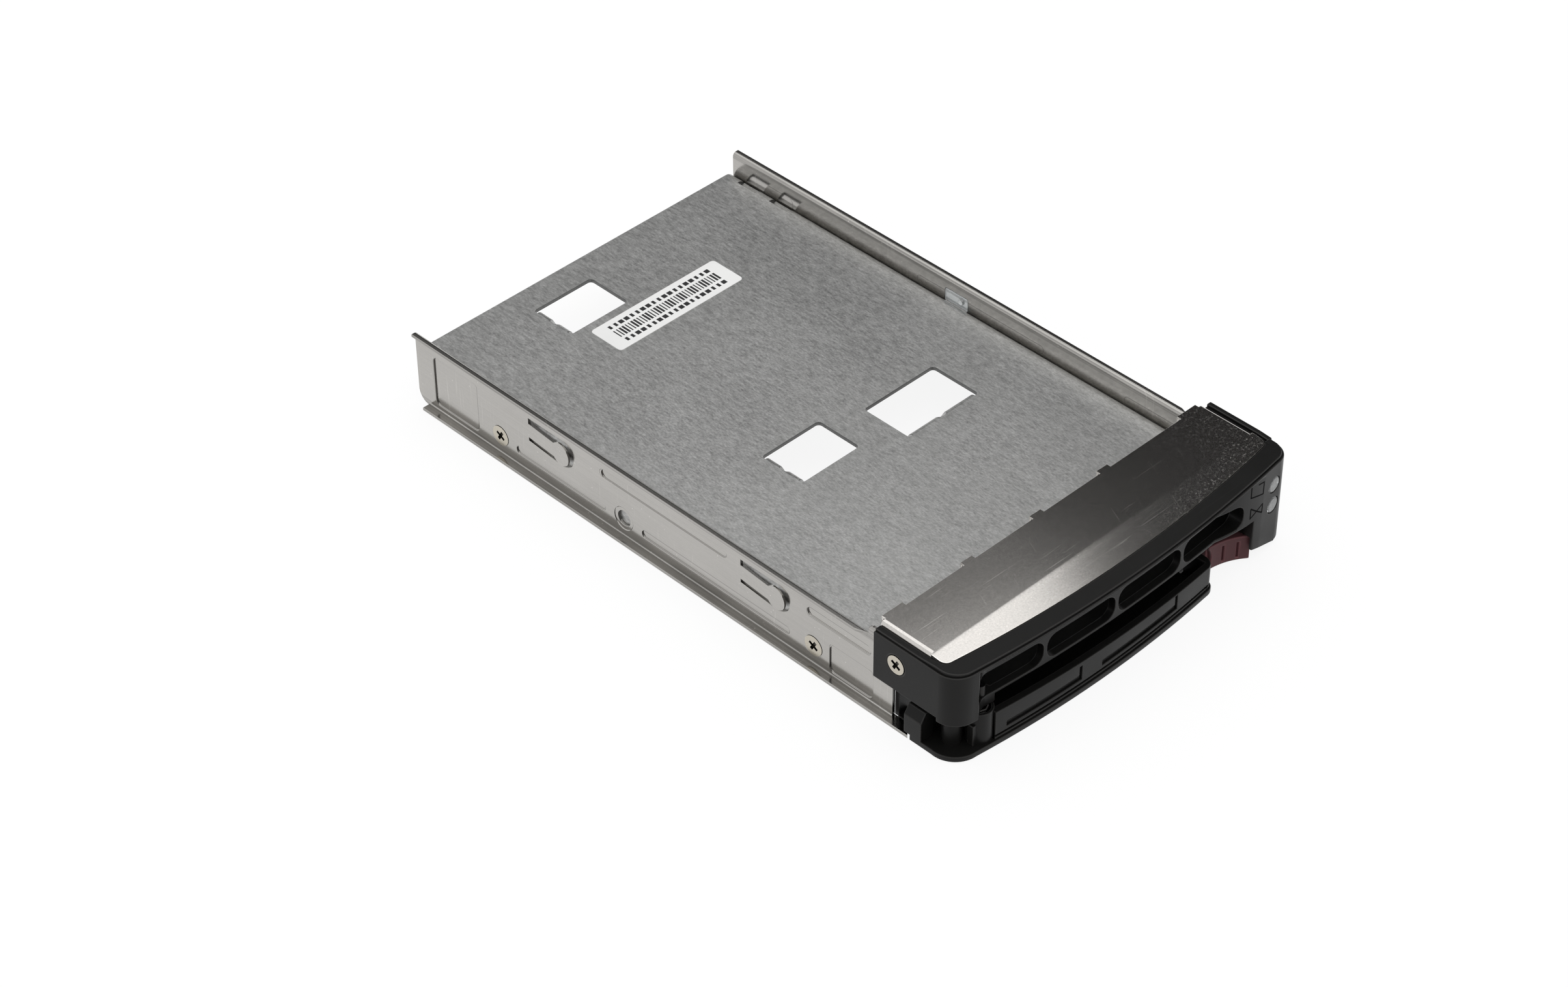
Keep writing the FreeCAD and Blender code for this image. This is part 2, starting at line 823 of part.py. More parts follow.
def scoop():
    """Cutter for the scooped front: steep at the left end, running out smoothly at the right."""
    z0 = block_low - through
    lead = seat_play
    left = arc_point(bezel_bow, scoop_left, z0, -lead)
    right = arc_point(bezel_bow, scoop_right, z0, -lead)
    in_left = arc_point(bezel_bow, scoop_left + scoop_run_left, z0, scoop_depth)
    in_right = arc_point(bezel_bow, scoop_right - scoop_run_right, z0, scoop_depth)
    mid_left = (left + in_left) / 2 + V(-scoop_bulge_left, scoop_bulge_left, 0)
    mid_right = arc_point(bezel_bow, scoop_right - scoop_run_right / 2, z0, scoop_depth / 4)
    far = bow_front - bezel_corner_r
    edges = [
        arc(left, mid_left, in_left), bow_edge(bezel_bow, in_left.x, in_right.x, z0, scoop_depth),
        arc(in_right, mid_right, right), line(right, V(right.x, far, z0)),
        line(V(right.x, far, z0), V(left.x, far, z0)), line(V(left.x, far, z0), left),
    ]
    return face_of(edges).extrude(V(0, 0, scoop_top - z0))


def deck():
    """Top of the bezel: level behind the crease, falling to the rim, lower beside the cover."""
    body = bezel_outline(rim_inset, ledge_z - seat_play, deck_top)
    front = bow_front - through
    side = -bezel_half - through
    behind = bezel_rear + through
    above = deck_top + through
    slope = polygon([V(side, crease_y, deck_top), V(side, front, deck_top), V(side, front, rim_top)])
    rim = polygon([
        V(side, behind, rim_top), V(side, rim_level_front, rim_top), V(side, rim_ramp_front, deck_top),
        V(side, rim_ramp_front, above), V(side, behind, above),
    ])
    groove = box(cover_right, bezel_half, right_step_y, behind, ledge_z, above)
    return body.cut([slope.extrude(V(-2 * side, 0, 0)), rim.extrude(V(cover_left - side, 0, 0)), groove])


def right_arm_skin():
    """Thicker rear part of the right arm, over the light guides, with a ridge along its top."""
    inner = front_right - through
    plan = polygon([
        V(inner, bezel_rear, arm_low), V(bezel_half, bezel_rear, arm_low),
        V(bezel_half, right_step_y, arm_low), V(front_right, right_step_y - right_step, arm_low),
        V(inner, right_step_y - right_step, arm_low),
    ])
    ridge_x = bezel_half - ridge_wide
    foot = ledge_z - ridge_wide
    ridge = polygon([
        V(ridge_x, bezel_rear, foot), V(ridge_x, bezel_rear, ridge_top),
        V(ridge_x, right_step_y + ridge_fall, ridge_top), V(ridge_x, right_step_y, ridge_front),
        V(ridge_x, right_step_y, foot),
    ])
    return plan.extrude(V(0, 0, ledge_z - arm_low)).fuse(ridge.extrude(V(ridge_wide, 0, 0)))


def slanted_floor():
    """Wedge under the corner block."""
    turn = front_right - block_turn_in
    far = skin_left - through
    rise = block_rise * (turn - far) / (turn - skin_left)
    face = polygon([V(turn, 0, block_low), V(far, 0, block_low + rise), V(far, 0, block_low - through),
                    V(turn, 0, block_low - through)])
    face.translate(V(0, bow_front - bezel_corner_r, 0))
    return face.extrude(V(0, bezel_deep + bezel_corner_r, 0))


def corner_block():
    """Right end of the bezel below the slots, with the latch's pocket, roof and guide seats."""
    behind = block_rear + through
    below = block_low - through
    above = sill_z + through
    solid = bezel_outline(0, block_low, sill_z + seat_play)
    solid = solid.common(box(skin_left, front_right + through, bow_front - through, block_rear, block_low,
                             sill_z + seat_play))
    wall = scoop_depth + front_wall
    room = bow_slab(bezel_bow, skin_left - through, end_wall_x, wall, bezel_deep, below, above)
    side_in = front_right - side_wall
    front_in = arc_y(bezel_bow, front_right, front_wall)
    hollow = box(end_wall_x + inner_wall, side_in, front_in, behind, block_low + block_bottom, above)
    upper = box(end_wall_x - seat_play, side_in, front_in, behind, pocket_top + inner_wall, above)
    tip = arc_y(bezel_bow, latch_right, latch_tip_set)
    pocket = box(skin_left - through, latch_right + latch_travel + moving_gap, tip - moving_gap, behind,
                 below, pocket_top)
    body = solid.cut([room, hollow, upper, slanted_floor(), pocket])
    roof_top = pocket_top + inner_wall
    roof = box(guide_left, end_wall_x + inner_wall, roof_front, block_rear, pocket_top, roof_top)
    end_wall = box(end_wall_x, end_wall_x + inner_wall, guide_y - 2 * guide_lug, block_rear,
                   block_low + block_bottom, roof_top)
    lug = box(guide_left, guide_left + guide_lug, guide_y - guide_lug_half, guide_y + guide_lug_half,
              guide_z - guide_lug_half, roof_top)
    return joined([body, roof, end_wall, lug])


def channel():
    """Finger channel behind the lever: shelf under the slots, apron, floor and two ends."""
    shelf_set = scoop_depth + front_wall / 2
    shelf_left = -rail_in + apron_side
    shelf_right = front_right - shelf_right_in
    shelf_low = sill_z - inner_wall
    lead = bow_slab(bezel_bow, shelf_left, shelf_right, shelf_set, bezel_deep / 2, shelf_low, sill_z)
    shelf_front = arc_y(bezel_bow, shelf_left, shelf_set)
    shelf = box(shelf_left, shelf_right, shelf_front, channel_rear, shelf_low, sill_z)
    apron = box(shelf_left, shelf_right, channel_rear - inner_wall, channel_rear, apron_low, sill_z)
    floor_top = channel_floor + inner_wall
    floor = box(channel_left, channel_right, channel_front, channel_rear, channel_floor, floor_top)
    lip_right = lever_right - 2 * lever_wall - swing_gap
    lip = bow_slab(bezel_bow, channel_left, lip_right, channel_lip, bezel_deep / 2, channel_floor, floor_top)
    back = arc_y(lever_bow, lever_right, lever_deep) + swing_gap
    left_end = box(channel_left, channel_left + inner_wall, channel_front, channel_rear, channel_floor,
                   sill_z)
    right_end = box(channel_right - inner_wall, channel_right, back, channel_rear, channel_floor, sill_z)
    sweep = box(lip_right, channel_right + through, bow_front, back, channel_floor - through, sill_z)
    floor = floor.cut(sweep)
    return joined([lead, shelf, apron, floor, lip, left_end, right_end])


def slot_cutters():
    """Row of cooling slots through the scooped wall."""
    cuts = []
    for k in range(slot_count):
        x0 = slots_left + k * slot_pitch
        x1 = x0 + slot_pitch - slot_pillar
        if k == slot_count - 1:
            x1 -= slot_last_set
        deep = arc_y(bezel_bow, max(abs(x0), abs(x1)), scoop_depth + front_wall) + through
        cuts.append(front_pad(x0, x1, slot_low, slot_high, slot_r, bow_front - through, deep))
    return cuts


def bezel_frame():
    wall = scoop_depth + front_wall
    shell = bezel_outline(0, post_low, ledge_z)
    below = post_low - through
    behind = bezel_rear + through
    ahead = bow_front - through
    inside = bow_slab(bezel_bow, -arm_in, arm_in, wall, 2 * bezel_deep, below, deck_low)
    arm_cut = box(-bezel_half - through, bezel_half + through, arm_step_y, behind, below, arm_low)
    under = box(scoop_left, skin_left, ahead, behind, below, sill_z)
    under_right = box(skin_left - seat_play, arm_in, ahead, behind, below, sill_z)
    block = corner_block()
    shell = shell.cut([inside, arm_cut, under, under_right.cut(block)])
    boss_low = barrel_top + moving_gap
    boss = prism(V(pivot_x, pivot_y, boss_low), V(0, 0, 1), 2 * boss_r, boss_high - boss_low, head_sides)
    body = joined([deck(), shell, right_arm_skin().cut(inside), block, channel(), boss])
    cuts = [scoop()] + slot_cutters()
    cuts.append(rod(V(pivot_x, pivot_y, 0), V(0, 0, 1), pivot_d, pivot_high + pin_play))
    for z in (lens_top_z, lens_low_z):
        cuts.append(prism(V(lens_x, ahead, z), V(0, 1, 0), lens_d + 2 * lens_seat, bezel_deep / 2,
                          head_sides))
    cuts.append(rod(V(guide_left - through, guide_y, guide_z), V(1, 0, 0), guide_d,
                    guide_right - guide_left + through))
    for sx in (-1, 1):
        head = V(sx * bezel_half, screw_y, screw_z)
        cuts.append(countersink(head, V(-sx, 0, 0), bezel_screw_d, arm_wall + through))
    half = guide_rod / 2 + rod_channel
    inner = rod_x - half - through
    cuts.append(box(inner, rod_x + half, rod_bend_front, behind, rod_low_z - half, rod_top_z + half))
    cuts.append(box(inner, rod_x + half, rod_bend_front, rod_bend_rear, rod_low_z - half - rod_channel_rise,
                    rod_top_z + half + rod_channel_rise))
    return body.cut(cuts).cut(cover_sheet_body(seat_play))


def cover_flange_body(x, sx, grow):
    """Side flange of the cover, hanging inside its edge at x."""
    inner = x + sx * (cover_sheet + 2 * grow)
    return box(min(x, inner), max(x, inner), cover_flange_front - grow, bezel_rear + grow,
               deck_top - cover_flange - grow, deck_top + seat_play)


def cover_sheet_body(grow):
    """Folded cover sheet without its hooks; grow widens its plan for the seat in the bezel."""
    x0 = cover_left - grow
    x1 = cover_right + grow
    front = crease_y - cover_reach
    z_front = deck_top + cover_sheet - cover_drop * cover_reach / (crease_y - cover_edge_y)
    top = deck_top + cover_sheet + (through if grow else 0)
    z_top = z_front + (through if grow else 0)
    section = polygon([
        V(x0, bezel_rear + grow, deck_top), V(x0, crease_y, deck_top), V(x0, front, z_front - cover_sheet),
        V(x0, front, z_top), V(x0, crease_y, top), V(x0, bezel_rear + grow, top),
    ])
    body = section.extrude(V(x1 - x0, 0, 0))
    cover_bow = (bow_mid_x, cover_edge_y, cover_edge_radius)
    plan = bow_slab(cover_bow, x0 - through, x1 + through, -grow, 2 * bezel_deep, 0, top + through)
    body = body.common(plan)
    for x in (x0, x1):
        corner = arc_point(cover_bow, x, 0, -grow)
        body = body.makeFillet(cover_corner_r, upright_edges(body, corner, through))
    return joined([body, cover_flange_body(x0, 1, grow), cover_flange_body(x1, -1, grow)])


def cover_bend_cut(x, sx):
    """Cutter that rounds the bend between the cover's top and a side flange."""
    top = deck_top + cover_sheet
    c = V(x + sx * cover_bend, cover_flange_front, top - cover_bend)
    run = bezel_rear - cover_flange_front
    edge = box(min(x - sx * through, c.x), max(x - sx * through, c.x), c.y, bezel_rear, c.z, top + through)
    return edge.cut(rod(c, V(0, 1, 0), 2 * cover_bend, run))


def bezel_cover():
    body = cover_sheet_body(0).cut([cover_bend_cut(cover_left, 1), cover_bend_cut(cover_right, -1)])
    spans = []
    for k in range(hook_count):
        x = slots_left - slot_pillar / 2 + (k + 1) * slot_pitch + hook_lead
        spans.append((x, hook_wide))
    end = end_hook_set + cover_bend + end_hook_wide / 2
    spans += [(cover_left + end, end_hook_wide), (cover_right - end, end_hook_wide)]
    top = deck_top + cover_sheet
    reach = bezel_rear + hook_out
    hooks = []
    for x, wide in spans:
        hooks.append(box(x - wide / 2, x + wide / 2, bezel_rear - through, reach, deck_top, top))
        hooks.append(box(x - wide / 2, x + wide / 2, reach - cover_sheet, reach, deck_top - hook_down, top))
    return joined([body] + hooks)


# Ejector lever
def lever_plan(inset, z0, z1):
    """Outline of the lever: side arm, rounded corner, bowed front, rounded right end."""
    start = arc_point(lever_bow, -bezel_half + lever_bow_in, z0, inset)
    end_x = lever_right - lever_end_r
    end = arc_point(lever_bow, end_x, z0, inset)
    diag = lever_end_r * math.sqrt(0.5)
    end_c = end + V(0, lever_end_r, 0)
    b = V(lever_left, lever_corner_start, z0)
    c = V(lever_right, end_c.y, z0)
    d = arc_point(lever_bow, lever_right, z0, lever_deep)
    e = arc_point(lever_bow, pivot_x + 2 * barrel_r, z0, lever_deep)
    f = V(lever_left + lever_fill, lever_side_rear, z0)
    a = V(lever_left, lever_side_rear, z0)
    edges = [
        line(a, b), arc(b, V(lever_left + lever_corner_in, lever_corner_y, z0), start),
        bow_edge(lever_bow, start.x, end.x, z0, inset), arc(end, end_c + V(diag, -diag, 0), c), line(c, d),
        bow_edge(lever_bow, e.x, d.x, z0, lever_deep), line(e, f), line(f, a),
    ]
    return face_of(edges).extrude(V(0, 0, z1 - z0))


def lever_claw(floor):
    """Hook at the end of the side arm: sloped on top, stepped up over the rail's foot."""
    slope_x = lever_left + claw_slope
    section = polygon([
        V(lever_left, claw_front, floor), V(claw_right, claw_front, floor),
        V(claw_right, claw_front, claw_top), V(slope_x, claw_front, claw_top),
        V(lever_left, claw_front, claw_side_top),
    ])
    body = section.extrude(V(0, claw_rear - claw_front, 0))
    step = box(lever_left - through, claw_right + through, lever_side_rear, claw_rear + through,
               lever_bottom, claw_low)
    return body.cut(step)


def lever_wall_body(floor):
    """Bowed grip with a falling top edge, two stepped insets and a foot groove."""
    left = pivot_x + lever_wall_lead
    outer = lever_wall_set
    body = bow_slab(lever_bow, left, lever_right, outer, outer + lever_wall, floor, lever_top_left)
    end_x = lever_right - lever_wall
    end = box(end_x, lever_right, lever_bow_front, arc_y(lever_bow, lever_right, lever_deep), floor,
              lever_top_left)
    body = body.fuse(end).common(lever_plan(outer, floor, lever_top_left))
    ahead = lever_bow_front - through
    fall = polygon([V(left, ahead, lever_top_left), V(lever_right + through, ahead, lever_top_right),
                    V(lever_right + through, ahead, lever_top_left + through),
                    V(left, ahead, lever_top_left + through)])
    cuts = [fall.extrude(V(0, 2 * lever_deep, 0))]
    cuts.append(bow_slab(lever_bow, left, lever_right, -through, outer + lever_groove_deep, lever_groove_low,
                         lever_groove_high))
    first = pivot_x + inset_lead
    second = first + inset_a_long + inset_gap
    for x0, x1 in ((first, first + inset_a_long), (second, second + inset_b_long)):
        deep = outer + inset_deep
        cuts.append(bow_slab(lever_bow, x0, x1, -through, deep, inset_low, inset_high))
        cuts.append(bow_slab(lever_bow, x1 - notch_wide, x1, -through, deep, inset_low, notch_high))
    return body.cut(cuts)


def lever_handle():
    floor = lever_bottom + lever_plate - seat_play
    plate = lever_plan(0, lever_bottom, lever_bottom + lever_plate)
    pivot = V(pivot_x, pivot_y, 0)
    up = V(0, 0, 1)
    barrel = prism(pivot + V(0, 0, floor), up, 2 * barrel_r, barrel_top - floor, head_sides)
    post = prism(pivot + V(post_x, post_y, floor), up, 2 * post_r, post_top - floor, head_sides)
    rib_x = pivot_x - rib_lead
    rib = box(rib_x, rib_x + rib_wide, arc_y(lever_bow, rib_x, lever_wall), pivot_y, floor, rib_top)
    body = joined([plate, lever_wall_body(floor), barrel, post, rib, lever_claw(floor)])
    below = V(0, 0, lever_bottom - through)
    bore = rod(pivot + below, up, pivot_d + 2 * pin_play, barrel_top - lever_bottom + 2 * through)
    well_floor = barrel_top - spring_well
    well = prism(pivot + V(0, 0, well_floor), up, 2 * spring_well_r, spring_well + through, head_sides)
    clip_room = prism(pivot + below, up, pivot_clip_d + 2 * swing_gap,
                      through + pivot_clip_set + pivot_clip_thick + pin_play, head_sides)
    return body.cut([bore, well, clip_room])


def lever_pivot_pin():
    base = lever_bottom + pivot_clip_set
    return rod(V(pivot_x, pivot_y, base), V(0, 0, 1), pivot_d, pivot_high - base)


def pivot_clip():
    base = V(pivot_x, pivot_y, lever_bottom + pivot_clip_set)
    up = V(0, 0, 1)
    ring = prism(base, up, pivot_clip_d, pivot_clip_thick, head_sides)
    return ring.cut(rod(base - up * through, up, pivot_d, pivot_clip_thick + 2 * through))


def coil(base, axis, mid_r, wire, turns, height):
    """Coil spring: flat facets between wire sections that follow a helix from base."""
    pitch = (height - wire) / turns
    rings = []
    for k in range(turns * coil_steps + 1):
        turn = 2 * math.pi * k / coil_steps
        out = V(math.cos(turn), math.sin(turn), 0)
        centre = out * mid_r + V(0, 0, wire / 2 + pitch * k / coil_steps)
        points = []
        for m in range(coil_sides):
            a = 2 * math.pi * m / coil_sides
            points.append(centre + out * (wire / 2 * math.cos(a)) + V(0, 0, wire / 2 * math.sin(a)))
        rings.append(points)
    faces = [polygon(rings[0]), polygon(rings[-1])]
    for low, high in zip(rings, rings[1:]):
        for m in range(coil_sides):
            n = (m + 1) % coil_sides
            faces.append(polygon([low[m], low[n], high[n]]))
            faces.append(polygon([low[m], high[n], high[m]]))
    body = Part.makeSolid(Part.makeShell(faces))
    if axis.z < 1:
        body.rotate(V(0, 0, 0), V(0, 1, 0), 90)
    body.translate(base)
    return body


def lever_spring():
    floor = barrel_top - spring_well
    height = spring_well + moving_gap
    return coil(V(pivot_x, pivot_y, floor), V(0, 0, 1), coil_mid_r, coil_wire, coil_turns, height)


# Release latch
def release_latch():
    """Ramped thumb piece: hollow front face, two grip grooves, bitten left end, guide bore."""
    deep = V(latch_left, latch_deep_y, latch_low)
    tip = arc_point(bezel_bow, latch_right, latch_low, latch_tip_set)
    hollow = (deep + tip) / 2 + V(0, latch_hollow, 0)
    right = V(latch_right, latch_rear, latch_low)
    left = V(latch_left, latch_rear, latch_low)
    edges = [arc(deep, hollow, tip), line(tip, right), line(right, left), line(left, deep)]
    body = face_of(edges).extrude(V(0, 0, latch_high - latch_low))
    cuts = []
    for k in range(2):
        x = latch_left + latch_groove_first + k * latch_groove_pitch
        share = (x - latch_left) / latch_long
        y = deep.y + (tip.y - deep.y) * share + 4 * latch_hollow * share * (1 - share)
        cuts.append(box(x, x + latch_groove, tip.y, y + latch_groove_deep, latch_groove_low,
                        latch_groove_high))
    bite = V(latch_left - latch_bite_r + latch_bite, latch_deep_y - through, (latch_low + latch_high) / 2)
    cuts.append(rod(bite, V(0, 1, 0), 2 * latch_bite_r, latch_bite + through))
    cuts.append(rod(V(latch_left - through, guide_y, guide_z), V(1, 0, 0), guide_d + 2 * pin_play,
                    latch_long + 2 * through))
    return body.cut(cuts)


def latch_guide_pin():
    return rod(V(guide_left, guide_y, guide_z), V(1, 0, 0), guide_d, guide_right - guide_left)


def latch_spring():
    start = V(latch_right, guide_y, guide_z)
    return coil(start, V(1, 0, 0), latch_coil_r, latch_coil_wire, latch_coil_turns, end_wall_x - latch_right)


# Light guides
def light_guide(z_front, z_rear):
    """Lens flush with the bezel, then one rod: lead, S-bend out to the rail, long straight run."""
    front = arc_y(bezel_bow, lens_x)
    lens = prism(V(lens_x, front - through, z_front), V(0, 1, 0), lens_d, lens_len + through, head_sides)
    lens = lens.common(bezel_outline(0, z_front - lens_d, z_front + lens_d))
    start = V(lens_x, front + lens_len - through, z_front)
    a = V(lens_x, rod_bend_front, z_front)
    b = V(rod_x, rod_bend_rear, z_rear)
    side = V(b.x - a.x, 0, b.z - a.z)
    shift = side.Length
    side.normalize()
    run = b.y - a.y
    bend_r = (run * run + shift * shift) / (4 * shift)
    half_turn = math.asin(run / 2 / bend_r) / 2
    mid = (a + b) / 2
    hop = V(0, bend_r * math.sin(half_turn), 0) + side * (bend_r * (1 - math.cos(half_turn)))
    path = Part.Wire([
        line(start, a), arc(a, a + hop, mid), arc(mid, b - hop, b), line(b, V(b.x, rod_rear, b.z)),
    ])
    half = guide_rod / 2
    ring = Part.makePolygon([
        start + V(-half, 0, -half), start + V(half, 0, -half), start + V(half, 0, half),
        start + V(-half, 0, half), start + V(-half, 0, -half),
    ])
    return joined([lens, path.makePipeShell([ring], True, False)])


def light_guide_clip():
    """Plug in the right rail's slot with a round post on its inner face."""
    inset = 2 * seat_play
    half = clip_long / 2 - inset
    outer = rod_x - guide_rod / 2 - seat_play
    plug = side_pad(clip_y - half, clip_y + half, clip_low + inset, clip_high - inset, clip_r,
                    outer - clip_thick, outer)
    foot = V(outer - clip_thick - clip_post_len, clip_y - half / 2, clip_post_z)
    post = prism(foot, V(1, 0, 0), clip_post_d, clip_post_len + seat_play, screw_sides)
    return joined([plug, post])


# Export
nodes = {
    "left_rail": left_rail(),
    "right_rail": right_rail(),
    "converter_plate": converter_plate(),
    "label": label(),
    "bezel_frame": bezel_frame(),
    "bezel_cover": bezel_cover(),
    "lever_handle": lever_handle(),
    "lever_pivot_pin": lever_pivot_pin(),
    "pivot_clip": pivot_clip(),
    "lever_spring": lever_spring(),
    "release_latch": release_latch(),
    "latch_guide_pin": latch_guide_pin(),
    "latch_spring": latch_spring(),
    "light_guide_upper": light_guide(lens_top_z, rod_top_z),
    "light_guide_lower": light_guide(lens_low_z, rod_low_z),
    "light_guide_clip": light_guide_clip(),
}
for side, sx in (("left", -1), ("right", 1)):
    inward = V(-sx, 0, 0)
    for place, y in (("front", 0), ("rear", drive_hole_pitch)):
        head = V(sx * rail_out, y, 0)
        nodes["rail_screw_" + side + "_" + place] = countersunk(head, inward, screw_head_d, screw_len)
    head = V(sx * bezel_half, screw_y, screw_z)
    nodes["bezel_screw_" + side] = countersunk(head, inward, bezel_screw_d, bezel_screw_len)

for name, shape in nodes.items():
    moved = shape.copy()
    moved.translate(base_shift)
    if len(moved.Solids) == 1:
        moved = moved.Solids[0]
    moved.exportStep("parts/" + name + ".step")
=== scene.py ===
"""Looks of a drive converter tray, laid out as an add-on and run as a script."""
import functools
import math

import bmesh
import bpy
from bpy.props import FloatProperty, FloatVectorProperty, IntProperty, PointerProperty
from mathutils import Matrix, Vector
from mathutils.bvhtree import BVHTree


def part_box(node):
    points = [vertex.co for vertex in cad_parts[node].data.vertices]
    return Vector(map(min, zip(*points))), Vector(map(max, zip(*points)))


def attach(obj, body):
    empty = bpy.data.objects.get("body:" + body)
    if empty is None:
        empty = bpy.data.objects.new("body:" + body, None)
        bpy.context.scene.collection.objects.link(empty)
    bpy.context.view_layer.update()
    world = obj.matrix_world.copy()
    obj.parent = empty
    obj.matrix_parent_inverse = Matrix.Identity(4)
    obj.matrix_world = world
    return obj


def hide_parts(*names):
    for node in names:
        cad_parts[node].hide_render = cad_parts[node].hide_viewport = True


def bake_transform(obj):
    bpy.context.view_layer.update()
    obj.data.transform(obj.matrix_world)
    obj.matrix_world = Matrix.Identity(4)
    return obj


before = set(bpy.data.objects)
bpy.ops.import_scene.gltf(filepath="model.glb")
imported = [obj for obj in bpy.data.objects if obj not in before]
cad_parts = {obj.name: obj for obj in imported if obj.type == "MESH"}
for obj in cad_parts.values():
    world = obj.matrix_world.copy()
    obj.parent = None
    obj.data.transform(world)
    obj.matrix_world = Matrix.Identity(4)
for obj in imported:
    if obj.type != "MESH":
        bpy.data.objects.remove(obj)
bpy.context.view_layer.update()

bl_info = {
    "name": "Drive converter tray",
    "version": (1, 0, 0),
    "blender": (4, 5, 0),
    "location": "3D View > Sidebar > Drive Tray",
    "description": "Dresses the packed drive converter tray and sets its studio stage",
    "category": "Object",
}

MM = 0.001

# Limits of the mesh work, with turns in degrees and lengths in metres
MERGE_GAP = 2e-6
FLAT_TURN = 0.6
SHARP_TURN = 30.0
SMOOTH_TURN = 32.0
SHORT_EDGE = 0.25 * MM
NORMAL_WEIGHT = 60

# Share of a round's width past which a corner has strayed off the surface
STRAY_SHARE = 0.6

# Faces: least part of a normal towards the front, largest upright part of a normal on a sheared edge
FACING = 0.7
UPRIGHT = 0.2

# Small sizes of single pieces
LABEL_EDGE = 0.03 * MM
RIB_EDGE = 0.15 * MM
CLIP_EDGE = 0.1 * MM
RECESS_DEPTH = 0.06 * MM
LENS_DEPTH = 2.0 * MM
INK_THICK = 0.008 * MM
MARK_THICK = 0.03 * MM

# Shares of the pitch that a bar and a dash take, and what every second pair of them takes more
BAR_FILL = 0.38
DASH_FILL = 0.46
WIDE_MORE = 0.28


# Settings that a user would change
def colour(name, about, value):
    return FloatVectorProperty(name=name, description=about, default=value, size=3, min=0.0, max=1.0,
                               subtype="COLOR")


def length(name, about, value):
    return FloatProperty(name=name, description=about, default=value, min=0.0, subtype="DISTANCE",
                         unit="LENGTH", precision=5)


def share(name, about, value):
    return FloatProperty(name=name, description=about, default=value, min=0.0, max=1.0, subtype="FACTOR")


class TrayMetalSettings(bpy.types.PropertyGroup):
    """Sheet metal of the rails, plate and cover."""
    rail: colour("Rail steel", "Colour of the formed side rails", (0.422, 0.410, 0.390))
    plate: colour("Plate steel", "Colour of the zinc coated plate", (0.47, 0.47, 0.462))
    cover: colour("Cover steel", "Colour of the bright bezel cover", (0.55, 0.53, 0.505))
    screw: colour("Screw nickel", "Colour of the plated screws", (0.52, 0.483, 0.412))
    # Partly painted shade: the pins and springs are this dark to show the shade they sit in
    oxide: colour("Black oxide", "Colour of the pins, clip ring and springs", (0.030, 0.029, 0.028))
    rail_edge: length("Rail edge", "Round on the cut edges of the rails", 0.10 * MM)
    plate_edge: length("Plate edge", "Round on the cut edges of the plate", 0.12 * MM)
    plate_thick: length("Plate thickness", "Depth of the plate's sheared edges", 1.3 * MM)
    # Painted shade: how dark the rails' front ends and the plate's cut walls are painted
    painted_shade_on_cuts: share("Sheared dark", "How dark sheared edges and the rails' front ends are", 0.8)
    cover_edge: length("Cover edge", "Round on the cut edges of the cover", 0.13 * MM)
    screw_edge: length("Screw edge", "Round on the edges of the screw heads", 0.08 * MM)
    rail_rough: share("Rail roughness", "Roughness of the rails", 0.17)
    plate_rough: share("Plate roughness", "Roughness of the plate", 0.40)
    cover_rough: share("Cover roughness", "Roughness of the cover", 0.11)


class TrayPlasticSettings(bpy.types.PropertyGroup):
    """Moulded parts of the bezel, lever, latch and light guides."""
    black: colour("Bezel black", "Colour of the moulded bezel and lever", (0.0065, 0.0063, 0.006))
    burgundy: colour("Latch burgundy", "Colour of the release latch", (0.112, 0.046, 0.050))
    clear: colour("Clear tint", "Tint of the light guides", (0.93, 0.95, 0.95))
    mark: colour("Mark tone", "Colour of the engraved marks beside the lenses", (0.003, 0.003, 0.003))
    mark_wide: length("Mark width", "Width of the engraved lines beside the lenses", 0.34 * MM)
    bezel_edge: length("Bezel edge", "Round on the moulded edges of the bezel", 0.22 * MM)
    lever_edge: length("Lever edge", "Round on the moulded edges of the lever", 0.22 * MM)
    latch_edge: length("Latch edge", "Round on the edges of the latch", 0.30 * MM)
    lens_edge: length("Lens edge", "Round on the front of the lenses", 0.45 * MM)
    rough: share("Plastic roughness", "Roughness of the moulded black parts", 0.36)


class TrayLabelSettings(bpy.types.PropertyGroup):
    """Paper label on the plate, printed with plain bars and dashes."""
    paper: colour("Paper", "Colour of the label paper", (0.80, 0.80, 0.79))
    ink: colour("Ink", "Colour of the printed bars and dashes", (0.012, 0.012, 0.013))
    bars: IntProperty(name="Bars", description="Number of printed bars", default=36, min=1, max=120)
    bar_high: length("Bar height", "Height of the printed bars", 2.9 * MM)
    dashes: IntProperty(name="Dashes", description="Number of plain dashes in each row beside the bars",
                        default=19, min=1, max=60)
    dash_high: length("Dash height", "Height of the plain dashes", 1.3 * MM)
    row_gap: length("Row gap", "Distance from the bars to each row of dashes", 2.95 * MM)
    print_long: length("Print length", "Length of the printed rows", 33.0 * MM)


